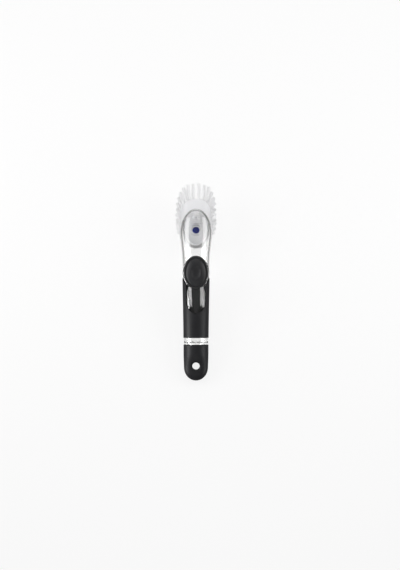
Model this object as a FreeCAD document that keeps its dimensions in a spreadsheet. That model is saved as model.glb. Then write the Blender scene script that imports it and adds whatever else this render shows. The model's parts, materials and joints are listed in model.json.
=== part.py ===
"""A soap-dispensing dish wand.

A clear hollow handle holds the soap. A thumb button pumps it through a valve in the head into a
snap-on brush, and a screw cap with a hanging hole closes the filling neck.

Everything is modelled in the wand's own frame: Y runs along the handle from the end of the cap to
the bristles, X is across it, and Z points out of the thumb button. The brush head has a frame of its
own, tilted on the nose. At the end the whole wand is laid on its bristles and its cap.
"""
import FreeCAD
import Part
import Sketcher
import math
import os

Vector = FreeCAD.Vector
Rotation = FreeCAD.Rotation
Placement = FreeCAD.Placement
X_AXIS = Vector(1, 0, 0)
Z_AXIS = Vector(0, 0, 1)
DIAGONAL = Vector(1, 1, 1)

SIZES = {
    # Screw cap: a rigid threaded cup inside a soft cover with a flattened, rounded end
    "cap_length": 48.0,
    "cap_wall": 2.0,
    "cap_barrel_length": 10.0,
    "cap_end_length": 17.5,
    "cap_end_half_width": 16.0,
    "cap_tongue_half": 9.0,
    "cap_tongue_length": 14.0,
    "hang_hole_radius": 5.0,
    "hang_hole_place": 19.5,
    "hang_hole_round": 3.0,
    "core_wall": 1.0,
    "core_floor": 1.8,
    "core_setback": 0.6,
    "gasket_thick": 1.5,
    "gasket_margin": 0.4,
    "seal_gap": 0.05,
    # Filling neck and its two-start thread
    "neck_radius": 12.3,
    "neck_wall": 2.0,
    "neck_length": 12.2,
    "thread_lead": 8.0,
    "thread_turns": 0.6,
    "thread_depth": 0.9,
    "thread_play": 0.4,
    "thread_flank_gap": 0.3,
    "thread_slope": 0.25,
    "thread_inset": 2.3,
    # Clear handle
    "rim_gap": 0.2,
    "ring_length": 8.8,
    "ring_step": 0.8,
    "body_wall": 2.2,
    "fit_gap": 0.1,
    "lug_width": 13.0,
    "lug_length": 2.6,
    "lug_place": 3.8,
    "lug_proud": 0.7,
    "deck_half_width": 17.4,
    "deck_half_height": 15.0,
    "deck_drop": 2.3,
    "head_half_width": 21.0,
    "head_half_height": 14.1,
    "head_drop": 2.4,
    "nose_place": 229.5,
    "nose_length": 32.1,
    "nose_height": 3.0,
    "rib_thick": 1.2,
    "rib_length": 7.0,
    "rib_height": 7.0,
    "rib_spacing": 16.8,
    "rib_setback": 23.5,
    # Soft grip sleeve
    "grip_length": 80.0,
    "grip_wall": 0.9,
    "window_half_width": 13.1,
    "window_round": 18.0,
    "window_place": 33.0,
    "collar_gap": 0.4,
    # Pump: collar on the handle, diaphragm, bezel and thumb button
    "button_place": 144.6,
    "collar_lip": 0.2,
    "collar_half_length": 23.3,
    "collar_rise": 0.18,
    "collar_step": 1.1,
    "deck_thick": 2.4,
    "bezel_wall": 2.9,
    "bezel_height": 1.8,
    "flange_thick": 1.2,
    "cup_wall": 0.9,
    "cup_depth": 5.6,
    "cup_gap": 0.3,
    "button_gap": 0.3,
    "button_rim": 2.2,
    "button_crown": 3.2,
    "dimple_half_width": 7.6,
    "dimple_half_length": 10.2,
    "dimple_depth": 2.1,
    "core_inset": 1.3,
    # Outlet in the head
    "head_tilt": 20.0,
    "seat_reach": 28.2,
    "brush_depth": 11.0,
    "plate_gap": 0.15,
    "plate_thick": 2.0,
    "boss_radius": 8.0,
    "boss_height": 4.25,
    "spigot_radius": 4.8,
    "spigot_end": 3.4,
    "outlet_bore": 3.3,
    "valve_flange": 5.6,
    "valve_flange_thick": 1.6,
    "valve_stem": 2.9,
    "valve_stem_length": 9.0,
    "valve_lip": 1.1,
    "valve_slit": 0.3,
    "retainer_radius": 6.5,
    "retainer_hole": 4.8,
    "retainer_thick": 1.4,
    "oring_thick": 1.9,
    "oring_place": 7.0,
    # Brush head
    "seat_gap": 0.3,
    "base_half_width": 20.9,
    "base_front": 39.6,
    "base_rear": 28.7,
    "base_top_half_width": 19.8,
    "base_top_half_length": 27.8,
    "base_squareness": 3.0,
    "base_top_squareness": 2.0,
    "base_round": 0.7,
    "base_pocket_depth": 3.0,
    "base_rim": 4.5,
    "socket_gap": 0.15,
    "nozzle_radius": 3.6,
    "catch_place": 13.3,
    "catch_width": 10.0,
    "catch_length": 5.0,
    "catch_height": 2.6,
    "catch_slot": 3.0,
    "catch_gap": 0.4,
    "catch_wall": 1.4,
    # Bristles
    "tuft_margin": 3.1,
    "tuft_ring_step": 4.8,
    "tuft_pitch": 5.4,
    "tuft_length": 29.0,
    "tuft_root_radius": 1.35,
    "tuft_tip_radius": 1.9,
    "tuft_hole_depth": 5.5,
    "tuft_gap": 0.2,
    "front_splay": 33.0,
    "rear_splay": 10.0,
    "side_splay": 16.2,
    "staple_thick": 0.4,
    "staple_width": 2.2,
    "staple_height": 1.2,
}

THREAD_STARTS = 2
OUTLINE_STEPS = 48
TUFT_RINGS = ("outer_tufts", "middle_tufts", "inner_tufts", "centre_tufts")

doc = FreeCAD.newDocument("dish_wand")
sheet = doc.addObject("Spreadsheet::Sheet", "sizes")
for row, (alias, number) in enumerate(SIZES.items(), start=1):
    sheet.set(f"A{row}", alias)
    sheet.set(f"B{row}", str(number))
    sheet.setAlias(f"B{row}", alias)
doc.recompute()


class Formula:
    """A size together with the spreadsheet formula that gives it."""

    def __init__(self, value, text):
        self.value = value
        self.text = text

    def __add__(self, other):
        other = formula(other)
        return Formula(self.value + other.value, f"({self.text} + {other.text})")

    def __sub__(self, other):
        other = formula(other)
        return Formula(self.value - other.value, f"({self.text} - {other.text})")

    def __mul__(self, other):
        other = formula(other)
        return Formula(self.value * other.value, f"({self.text} * {other.text})")

    def __truediv__(self, other):
        other = formula(other)
        return Formula(self.value / other.value, f"({self.text} / {other.text})")

    def __neg__(self):
        return Formula(-self.value, f"(0 - {self.text})")

    def __radd__(self, other):
        return formula(other) + self

    def __rsub__(self, other):
        return formula(other) - self

    def __rmul__(self, other):
        return formula(other) * self


def formula(value):
    """The value itself if it is a formula already, or a plain number as one."""
    if isinstance(value, Formula):
        return value
    return Formula(float(value), f"({float(value):.6f})")


def root(value):
    """The square root of a formula."""
    return Formula(math.sqrt(value.value), f"sqrt({value.text})")


class Sizes:
    """The cells of the spreadsheet, by name."""

    def __getattr__(self, alias):
        return Formula(float(sheet.get(alias)), f"sizes.{alias}")


size = Sizes()


def between(low, high, share):
    """The size that lies the given share of the way from low to high."""
    return low + (high - low) * share


def make(kind, name, **bound):
    """A document object with its properties bound to formulas."""
    thing = doc.addObject(kind, name)
    for prop, value in bound.items():
        thing.setExpression(prop, formula(value).text)
    return thing


def place(thing, x=0, y=0, z=0, axis=Z_AXIS, angle=0):
    """Turn a building block and bind its position to formulas."""
    thing.Placement = Placement(Vector(), Rotation(axis, angle))
    for letter, value in (("x", x), ("y", y), ("z", z)):
        thing.setExpression(f"Placement.Base.{letter}", formula(value).text)
    return thing


def joined(name, *pieces):
    both = doc.addObject("Part::MultiFuse", name)
    both.Shapes = list(pieces)
    return both


def cut(name, base, *tools):
    result = doc.addObject("Part::Cut", name)
    result.Base = base
    result.Tool = tools[0] if len(tools) == 1 else joined(name + "_tools", *tools)
    return result


def common(name, base, tool):
    result = doc.addObject("Part::Common", name)
    result.Base = base
    result.Tool = tool
    return result


def block(name, width, length, height, y=0, z=0, x=0):
    """A box centred on x and y, standing on z."""
    box = make("Part::Box", name, Width=length, Height=height)
    box.setExpression("Length", formula(width).text)
    return place(box, x=x - formula(width) / 2, y=y - formula(length) / 2, z=z)


def rod(name, radius, low, high, y=0):
    """A round rod along Z."""
    return place(make("Part::Cylinder", name, Radius=radius, Height=high - formula(low)), y=y, z=low)


def barrel(name, radius, low, high):
    """A round rod along the handle."""
    cylinder = make("Part::Cylinder", name, Radius=radius, Height=high - formula(low))
    return place(cylinder, y=low, axis=X_AXIS, angle=-90)


def ellipse(name, first, second):
    """An oval outline with these two half sizes, and whether the second one is the longer."""
    longer = formula(first)
    shorter = formula(second)
    turned_over = shorter.value > longer.value
    if turned_over:
        longer, shorter = shorter, longer
    return make("Part::Ellipse", name, MajorRadius=longer, MinorRadius=shorter), turned_over


def flat_oval(name, half_width, half_length, y, z):
    """An oval outline that lies flat, half_width across the handle and half_length along it."""
    ring, lengthwise = ellipse(name, half_width, half_length)
    return place(ring, y=y, z=z, angle=90 if lengthwise else 0)


def oval(name, half_width, half_length, low, high, y=0):
    """An upright oval block."""
    ring = flat_oval(name + "_outline", half_width, half_length, y, low)
    solid = make("Part::Extrusion", name, LengthFwd=high - formula(low))
    solid.Base = ring
    solid.DirMode = "Custom"
    solid.Dir = Z_AXIS
    solid.Solid = True
    return solid


def loft(name, sections):
    solid = doc.addObject("Part::Loft", name)
    solid.Sections = sections
    solid.Solid = True
    return solid


def handle_loft(name, stations, grow=0):
    """A smooth skin through upright oval sections (place, half width, half height, centre height)."""
    sections = []
    for number, (y, half_width, half_height, centre) in enumerate(stations):
        section, upright = ellipse(f"{name}_{number}", half_width + grow, half_height + grow)
        axis, angle = (DIAGONAL, -120) if upright else (X_AXIS, 90)
        sections.append(place(section, y=y, z=centre, axis=axis, angle=angle))
    return loft(name, sections)


def turned(name, outline):
    """A piece turned about its own Z axis from a closed outline of (radius, height) corners."""
    body = doc.addObject("PartDesign::Body", name)
    plane = next(part for part in body.Origin.OriginFeatures if part.Role == "XZ_Plane")
    sketch = body.newObject("Sketcher::SketchObject", name + "_outline")
    sketch.AttachmentSupport = [(plane, "")]
    sketch.MapMode = "FlatFace"
    corners = [(formula(radius), formula(height)) for radius, height in outline]
    points = [Vector(radius.value, height.value, 0) for radius, height in corners]
    for number, point in enumerate(points):
        sketch.addGeometry(Part.LineSegment(point, points[(number + 1) % len(points)]), False)
    for number in range(len(points)):
        following = (number + 1) % len(points)
        sketch.addConstraint(Sketcher.Constraint("Coincident", number, 2, following, 1))
    for number, (radius, height) in enumerate(corners):
        for direction, value in (("DistanceX", radius), ("DistanceY", height)):
            if value.value == 0:
                line = -2 if direction == "DistanceX" else -1
                sketch.addConstraint(Sketcher.Constraint("PointOnObject", number, 1, line))
            else:
                bound = sketch.addConstraint(
                    Sketcher.Constraint(direction, -1, 1, number, 1, value.value)
                )
                sketch.setExpression(f"Constraints[{bound}]", value.text)
    turn = body.newObject("PartDesign::Revolution", name + "_turn")
    turn.Profile = sketch
    turn.ReferenceAxis = (sketch, ["V_Axis"])
    turn.Angle = 360
    return body


def ridge(name, wall_radius, crest_radius, low, start):
    """One thread ridge: a trapezium swept up a helix, its foot sunk a little into the wall."""
    lead = size.thread_lead.value
    middle = lead / (4 * THREAD_STARTS) - size.thread_flank_gap.value / 2
    slope = size.thread_slope.value
    outwards = math.copysign(1, crest_radius - wall_radius)
    foot_radius = wall_radius - outwards * size.fit_gap.value
    corners = [
        Vector(foot_radius, 0, -middle - slope),
        Vector(crest_radius, 0, -middle + slope),
        Vector(crest_radius, 0, middle - slope),
        Vector(foot_radius, 0, middle + slope),
    ]
    helix = Part.makeHelix(lead, lead * size.thread_turns.value, wall_radius)
    pipe = Part.BRepOffsetAPI.MakePipeShell(Part.Wire(helix))
    pipe.setFrenetMode(True)
    pipe.add(Part.makePolygon(corners + corners[:1]))
    pipe.build()
    pipe.makeSolid()
    solid = doc.addObject("Part::Feature", name)
    solid.Shape = pipe.shape()
    turn = Rotation(X_AXIS, -90).multiply(Rotation(Z_AXIS, 360 * start / THREAD_STARTS))
    solid.Placement = Placement(Vector(0, low, 0), turn)
    return solid


# Places along the handle
shoulder = size.cap_length + size.rim_gap
grip_start = shoulder + size.ring_length
neck_end = shoulder - size.neck_length
head_wide = size.nose_place - size.nose_length

# Radii from the neck outwards
socket_radius = size.neck_radius + size.thread_depth + size.thread_play
core_radius = socket_radius + size.core_wall
cap_radius = core_radius + size.fit_gap + size.cap_wall
ring_radius = cap_radius - size.ring_step

# The brush head's frame stands on the middle of the brush's underside
tilt = math.radians(size.head_tilt.value)
forward = Vector(0, math.cos(tilt), math.sin(tilt))
upward = Vector(0, -math.sin(tilt), math.cos(tilt))
seat_nose = Vector(0, size.nose_place.value, size.nose_height.value)
brush_origin = seat_nose - forward * size.seat_reach.value - upward * size.brush_depth.value
WAND = Placement()
HEAD = Placement(brush_origin, Rotation(X_AXIS, size.head_tilt.value))
ALONG = Placement(Vector(), Rotation(X_AXIS, -90))

# Sections of the clear handle: a round ring, a deck under the button, and a wide domed head
handle = [
    (grip_start, ring_radius, ring_radius, 0),
    (
        between(grip_start, size.button_place, 0.38),
        between(ring_radius, size.deck_half_width, 0.3),
        between(ring_radius, size.deck_half_height, 0.25),
        -size.deck_drop * 0.2,
    ),
    (
        between(grip_start, size.button_place, 0.7),
        between(ring_radius, size.deck_half_width, 0.65),
        between(ring_radius, size.deck_half_height, 0.65),
        -size.deck_drop * 0.65,
    ),
    (size.button_place, size.deck_half_width, size.deck_half_height, -size.deck_drop),
    (
        between(size.button_place, head_wide, 0.4),
        between(size.deck_half_width, size.head_half_width, 0.24),
        between(size.deck_half_height, size.head_half_height, 0.1),
        -between(size.deck_drop, size.head_drop, 0.4),
    ),
    (
        between(size.button_place, head_wide, 0.65),
        between(size.deck_half_width, size.head_half_width, 0.57),
        between(size.deck_half_height, size.head_half_height, 0.3),
        -between(size.deck_drop, size.head_drop, 0.65),
    ),
    (head_wide, size.head_half_width, size.head_half_height, -size.head_drop),
]


def nose_section(share):
    """A section of the rounded nose, the given share of the way from the widest place to its tip."""
    narrowing = math.sqrt(1 - share**2)
    crown = size.nose_height + (size.head_half_height - size.head_drop - size.nose_height) * narrowing
    centre = between(-size.head_drop, size.nose_height, share**1.5)
    return (
        head_wide + size.nose_length * share,
        size.head_half_width * narrowing,
        crown - centre,
        centre,
    )


outer_nose = [nose_section(share) for share in (0.35, 0.6, 0.8, 0.92, 0.985)]
inner_nose = [nose_section(share) for share in (0.35, 0.6, 0.8, 0.9)]
shoulder_section = (shoulder, ring_radius, ring_radius, 0)
floor_section = (shoulder + size.body_wall, ring_radius, ring_radius, 0)

# Ovals of the pump, from the collar inwards
collar_width = size.deck_half_width + size.collar_lip
collar_length = size.collar_half_length
bezel_width = collar_width - size.collar_step
bezel_length = collar_length - size.collar_step
bezel_hole_width = bezel_width - size.bezel_wall
bezel_hole_length = bezel_length - size.bezel_wall
cup_width = bezel_hole_width + size.fit_gap + size.cup_wall
cup_length = bezel_hole_length + size.fit_gap + size.cup_wall
_, _, grip_half_height, grip_centre = handle[2]
collar_top = grip_half_height + grip_centre + size.collar_rise
flange_top = collar_top + size.flange_thick
cup_floor = collar_top - size.cup_depth


def reservoir_body():
    """The clear soap handle: tube, domed head cut flat for the brush, button collar and neck."""
    outside = handle_loft("handle_outside", [shoulder_section, *handle, *outer_nose])
    inside = handle_loft("handle_inside", [floor_section, *handle, *inner_nose], -size.body_wall)
    collar = oval("collar", collar_width, collar_length, 0, collar_top, size.button_place)
    under_deck = oval(
        "under_deck",
        collar_width - size.body_wall,
        collar_length - size.body_wall,
        -size.deck_drop,
        collar_top - size.deck_thick,
        size.button_place,
    )
    opening = oval(
        "pump_opening",
        cup_width + size.cup_gap,
        cup_length + size.cup_gap,
        0,
        collar_top + size.deck_thick,
        size.button_place,
    )
    underside = make(
        "Part::Box",
        "brush_seat",
        Length=size.head_half_width * 4,
        Width=size.nose_length * 4,
        Height=size.brush_depth * 6,
    )
    seat_corner = Vector(
        -size.head_half_width.value * 2,
        -size.nose_length.value * 2,
        -size.brush_depth.value * 5,
    )
    underside.Placement = HEAD.multiply(Placement(seat_corner, Rotation()))
    solid = joined("handle_solid", outside, collar)
    shell = cut("handle_shell", solid, inside, under_deck, opening, underside)
    neck = barrel("neck", size.neck_radius, neck_end, shoulder + size.body_wall / 2)
    ridges = [
        ridge(
            f"neck_ridge_{start}",
            size.neck_radius.value,
            (size.neck_radius + size.thread_depth).value,
            (neck_end + size.thread_inset).value,
            start,
        )
        for start in range(THREAD_STARTS)
    ]
    lug = block(
        "lug",
        size.lug_width,
        size.lug_length,
        size.body_wall / 2 + size.lug_proud,
        y=shoulder + size.lug_place,
        z=ring_radius - size.body_wall / 2,
    )
    rib_height = size.head_half_height - size.head_drop - size.body_wall
    ribs = [
        block(
            f"duct_rib_{number}",
            size.rib_thick,
            size.rib_length,
            size.rib_height,
            x=size.rib_spacing / 2 * side,
            y=size.nose_place - size.seat_reach - size.rib_setback,
            z=rib_height - size.rib_height + size.body_wall / 3,
        )
        for number, side in enumerate((-1, 1))
    ]
    bore = barrel(
        "neck_bore",
        size.neck_radius - size.neck_wall,
        neck_end - size.neck_wall,
        shoulder + size.body_wall * 2,
    )
    return cut("reservoir_body", joined("handle_all", shell, neck, lug, *ribs, *ridges), bore)


def grip_sleeve():
    """The soft sleeve round the handle, with a long window up to the button."""
    along = [shoulder_section, *handle, *outer_nose]
    outside = handle_loft("grip_outside", along, size.fit_gap + size.grip_wall)
    inside = handle_loft("grip_inside", along, size.fit_gap)
    start = grip_start + size.rim_gap
    window_start = grip_start + size.window_place
    span = block(
        "grip_span",
        size.deck_half_width * 4,
        size.grip_length - size.rim_gap,
        size.deck_half_height * 4,
        y=start + (size.grip_length - size.rim_gap) / 2,
        z=-size.deck_half_height * 2,
    )
    window_middle = window_start + size.window_round
    window_end = oval(
        "window_end",
        size.window_half_width,
        size.window_round,
        0,
        size.deck_half_height * 2,
        window_middle,
    )
    reach = size.button_place - window_middle
    window_side = block(
        "window_side",
        size.window_half_width * 2,
        reach,
        size.deck_half_height * 2,
        y=window_middle + reach / 2,
    )
    round_collar = oval(
        "round_collar",
        collar_width + size.collar_gap,
        collar_length + size.collar_gap,
        -size.deck_drop,
        size.deck_half_height * 2,
        size.button_place,
    )
    skin = cut("grip_skin", outside, inside, window_end, window_side, round_collar)
    return common("grip_sleeve", skin, span)


def button_bezel():
    """The rigid oval ring that clamps the diaphragm on the collar."""
    top = flange_top + size.bezel_height
    rim = oval("bezel_rim", bezel_width, bezel_length, flange_top, top, size.button_place)
    hole = oval("bezel_hole", bezel_hole_width, bezel_hole_length, 0, top + 1, size.button_place)
    return cut("button_bezel", rim, hole)


def pump_diaphragm():
    """The rubber cup under the button, with a flange between the collar and the bezel."""
    flange = oval(
        "diaphragm_flange",
        bezel_width - size.fit_gap,
        bezel_length - size.fit_gap,
        collar_top,
        flange_top,
        size.button_place,
    )
    cup = oval("diaphragm_cup", cup_width, cup_length, cup_floor, flange_top, size.button_place)
    hollow = oval(
        "diaphragm_hollow",
        cup_width - size.cup_wall,
        cup_length - size.cup_wall,
        cup_floor + size.cup_wall,
        flange_top + size.cup_wall,
        size.button_place,
    )
    return cut("pump_diaphragm", joined("diaphragm_solid", flange, cup), hollow)


button_width = bezel_hole_width - size.button_gap
button_length = bezel_hole_length - size.button_gap
button_crest = flange_top + size.button_rim + size.button_crown


def thumb_button():
    """The domed button with a dimple for the thumb."""
    overhang = 1.15
    dome_height = size.button_crown * (1 / (1 - math.sqrt(1 - 1 / overhang**2)))
    stock = oval("button_stock", button_width, button_length, flange_top, button_crest + 1, size.button_place)
    dome = make(
        "Part::Ellipsoid",
        "button_dome",
        Radius1=dome_height,
        Radius2=button_width * overhang,
        Radius3=button_length * overhang,
    )
    place(dome, y=size.button_place, z=button_crest - dome_height)
    dimple_rise = size.dimple_depth * 0.4
    dimple = make(
        "Part::Ellipsoid",
        "button_dimple",
        Radius1=size.dimple_depth + dimple_rise,
        Radius2=size.dimple_half_width,
        Radius3=size.dimple_half_length,
    )
    place(dimple, y=size.button_place, z=button_crest + dimple_rise)
    for part in (dome, dimple):
        part.Angle1 = -90
        part.Angle2 = 90
    return cut("thumb_button", common("button_solid", stock, dome), dimple)


def button_plunger():
    """The rigid plate under the button that pushes the floor of the diaphragm down."""
    return oval(
        "button_plunger",
        button_width - size.core_inset,
        button_length - size.core_inset,
        cup_floor + size.cup_wall + size.seal_gap,
        flange_top,
        size.button_place,
    )


gasket_top = neck_end - size.seal_gap
gasket_low = gasket_top - size.gasket_thick
core_floor_top = gasket_low - size.seal_gap
core_low = core_floor_top - size.core_floor
core_top = size.cap_length - size.core_setback


def cap_gasket():
    """The flat sealing ring that the cap presses on the end of the neck."""
    inner = size.neck_radius - size.neck_wall - size.gasket_margin
    outer = socket_radius - size.gasket_margin
    return turned(
        "cap_gasket",
        [(inner, gasket_low), (outer, gasket_low), (outer, gasket_top), (inner, gasket_top)],
    )


def cap_core():
    """The rigid cup with the inside thread."""
    cup = turned(
        "core_cup",
        [
            (0, core_low),
            (core_radius, core_low),
            (core_radius, core_top),
            (socket_radius, core_top),
            (socket_radius, core_floor_top),
            (0, core_floor_top),
        ],
    )
    cup.Placement = ALONG
    half_pitch = size.thread_lead / (2 * THREAD_STARTS)
    ridges = [
        ridge(
            f"core_ridge_{start}",
            socket_radius.value,
            (size.neck_radius + size.thread_play).value,
            (neck_end + size.thread_inset + half_pitch).value,
            start,
        )
        for start in range(THREAD_STARTS)
    ]
    return joined("cap_core", cup, *ridges)


cap_taper_start = size.cap_tongue_length * 0.8
cap_barrel_start = size.cap_length - size.cap_barrel_length


def rounding(y, length):
    """The share of the full width that an oval end of this length has at y from its tip."""
    below = 1 - y / length
    return root(1 - below * below)


def ease(share):
    """A share from 0 to 1 that starts and ends gently."""
    return share * share * (3 - 2 * share)


def rings_hole(edge):
    """Whether an edge of the cap is one of the two mouths of the hanging hole."""
    points = edge.discretize(9)
    middle = Vector(0, size.hang_hole_place.value, 0)
    on_wall = all(
        abs(math.hypot(point.x, point.y - middle.y) - size.hang_hole_radius.value) < size.seal_gap.value
        for point in points
    )
    return on_wall and len({point.z > 0 for point in points}) == 1


def cap_cover():
    """The soft cover of the cap: round at the rim, flattened and rounded at the hanging hole."""
    stations = []
    for share in (0.02, 0.11, 0.32, 0.6):
        y = size.cap_end_length * share
        half_width = size.cap_end_half_width * rounding(y, size.cap_end_length)
        half_height = size.cap_tongue_half * rounding(y, size.cap_tongue_length)
        stations.append((y, half_width, half_height, 0))
    for share in (0.24, 0.44, 0.64, 0.85, 1):
        y = between(cap_taper_start, cap_barrel_start, share)
        half_width = between(size.cap_end_half_width, cap_radius, ease(share))
        half_height = between(size.cap_tongue_half, cap_radius, ease(share))
        stations.append((y, half_width, half_height, 0))
    stations.append((size.cap_length, cap_radius, cap_radius, 0))
    outside = handle_loft("cap_outside", stations)
    socket = barrel(
        "cap_socket",
        core_radius + size.fit_gap,
        core_low - size.seal_gap,
        size.cap_length + size.cap_wall,
    )
    hole = rod(
        "hang_hole",
        size.hang_hole_radius,
        -cap_radius,
        cap_radius,
        y=size.hang_hole_place,
    )
    drilled = cut("cap_drilled", outside, socket, hole)
    doc.recompute()
    mouths = [edge for edge in drilled.Shape.Edges if rings_hole(edge)]
    cover = doc.addObject("Part::Feature", "cap_cover")
    cover.Shape = drilled.Shape.makeFillet(size.hang_hole_round.value, mouths)
    return cover


# Heights in the brush head's frame, up from the brush's underside
plate_low = size.brush_depth + size.plate_gap
plate_top = plate_low + size.plate_thick
boss_top = plate_top + size.boss_height
retainer_low = boss_top - size.retainer_thick - size.seal_gap
flange_low = retainer_low - size.valve_flange_thick - size.seal_gap * 2
oring_radius = size.spigot_radius + size.oring_thick / 2 - size.oring_thick * 0.32
base_top = size.brush_depth - size.seat_gap
pocket_floor = base_top - size.base_pocket_depth
catch_top = plate_top + size.catch_height - size.catch_wall - size.catch_gap


def head_underplate():
    """The clear plate that closes the head: outlet boss, spigot and a blind housing for the catch."""
    fill = handle_loft(
        "plate_fill",
        [floor_section, *handle, *inner_nose],
        -size.body_wall - size.fit_gap,
    )
    fill.Placement = HEAD.inverse()
    layer = block(
        "plate_layer",
        size.head_half_width * 4,
        size.nose_length * 4,
        size.plate_thick,
        z=plate_low,
    )
    plate = common("plate", fill, layer)
    boss = rod("outlet_boss", size.boss_radius, plate_low, boss_top)
    spigot = rod("spigot", size.spigot_radius, size.spigot_end, plate_top)
    housing = block(
        "catch_housing",
        size.catch_width + (size.catch_gap + size.catch_wall) * 2,
        size.catch_length + (size.catch_gap + size.catch_wall) * 2,
        size.plate_thick + size.catch_height,
        y=size.catch_place,
        z=plate_low,
    )
    pocket = block(
        "catch_pocket",
        size.catch_width + size.catch_gap * 2,
        size.catch_length + size.catch_gap * 2,
        catch_top + size.catch_gap - size.brush_depth,
        y=size.catch_place,
        z=size.brush_depth,
    )
    bore = rod("outlet_bore", size.outlet_bore, 0, boss_top)
    seat = rod("valve_seat", size.valve_flange + size.fit_gap, flange_low, boss_top + 1)
    counterbore = rod(
        "retainer_seat",
        size.retainer_radius + size.fit_gap,
        retainer_low,
        boss_top + size.retainer_thick,
    )
    groove_radius = size.oring_thick / 2 + size.seal_gap
    groove = make("Part::Torus", "oring_groove", Radius1=oring_radius, Radius2=groove_radius)
    place(groove, z=size.oring_place)
    solid = joined("underplate_solid", plate, boss, spigot, housing)
    return cut("head_underplate", solid, pocket, bore, seat, counterbore, groove)


def valve_retainer():
    """The ring that holds the valve down in the boss."""
    top = retainer_low + size.retainer_thick
    return turned(
        "valve_retainer",
        [
            (size.retainer_hole, retainer_low),
            (size.retainer_radius, retainer_low),
            (size.retainer_radius, top),
            (size.retainer_hole, top),
        ],
    )


def outlet_valve():
    """The rubber one-way valve: a flange, a stem and a slit lip."""
    low = flange_low + size.seal_gap
    top = low + size.valve_flange_thick
    tip = low - size.valve_stem_length
    neck = low - size.valve_stem_length * 0.35
    stem = turned(
        "valve_stem",
        [
            (0, tip),
            (size.valve_lip, tip),
            (size.valve_stem, neck),
            (size.valve_stem, low),
            (size.valve_flange, low),
            (size.valve_flange, top),
            (0, top),
        ],
    )
    slit = block("valve_slit", size.valve_stem * 2, size.valve_slit, size.valve_stem, z=tip)
    return cut("outlet_valve", stem, slit)


def spigot_oring():
    """The sealing ring in the spigot's groove, about its own middle."""
    return make("Part::Torus", "spigot_oring", Radius1=oring_radius, Radius2=size.oring_thick / 2)


socket_radius_at_ring = oring_radius + size.oring_thick / 2 + size.socket_gap
socket_wall_radius = oring_radius + size.oring_thick
base_half_length = (size.base_front + size.base_rear) / 2
base_middle = (size.base_front - size.base_rear) / 2


def squared_oval(half_width, half_length, squareness, steps):
    """Points round an oval, from its front to the right. A squareness of 2 is a plain ellipse, and
    a higher one fills the ellipse's corners."""
    points = []
    for step in range(steps):
        across = math.sin(2 * math.pi * step / steps)
        along = math.cos(2 * math.pi * step / steps)
        stretch = abs(across / half_width) ** squareness + abs(along / half_length) ** squareness
        points.append(Vector(across, along, 0) * stretch ** (-1 / squareness))
    return points


def squared_section(half_width, half_length, squareness, middle, z):
    """A smooth closed outline through the points of a squared oval, flat at the height z."""
    points = squared_oval(half_width, half_length, squareness, OUTLINE_STEPS)
    curve = Part.BSplineCurve()
    curve.interpolate([point + Vector(0, middle, z) for point in points], True)
    return Part.Wire(curve.toShape())


def tuft_ring(number):
    """Where the tufts of one ring leave the brush's underside, and which way they point.

    The tufts stand at equal steps along an oval inset from the base's edge, clear of the outlet's
    socket. They lean outwards in proportion to their distance from the middle, most at the front."""
    inset = size.tuft_margin.value + size.tuft_ring_step.value * number
    half_length = base_half_length.value - inset
    half_width = size.base_half_width.value - inset
    outer_length = base_half_length.value - size.tuft_margin.value
    outer_width = size.base_half_width.value - size.tuft_margin.value
    middle = Vector(0, base_middle.value, 0)
    clear_radius = (socket_wall_radius + size.tuft_root_radius + size.tuft_gap).value
    steps = 720
    oval_points = squared_oval(half_width, half_length, size.base_squareness.value, steps)
    oval_points.append(oval_points[0])
    reach = [0]
    for first, second in zip(oval_points, oval_points[1:]):
        reach.append(reach[-1] + (second - first).Length)
    count = round(reach[-1] / size.tuft_pitch.value)
    tufts = []
    for tuft in range(count):
        target = reach[-1] * (tuft + 0.5) / count
        nearest = min(range(steps), key=lambda step: abs(reach[step] - target))
        foot = oval_points[nearest]
        if (foot + middle).Length < clear_radius:
            continue
        lean = size.front_splay.value if foot.y > 0 else size.rear_splay.value
        along = math.radians(lean) * foot.y / outer_length
        aside = math.radians(size.side_splay.value) * foot.x / outer_width
        direction = Vector(math.tan(aside), math.tan(along), -1)
        direction.normalize()
        tufts.append((foot + middle, direction))
    return tufts


def solids(name, shapes):
    """A group of separate solids as one piece."""
    group = doc.addObject("Part::Feature", name)
    group.Shape = Part.makeCompound(shapes)
    return group


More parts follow.
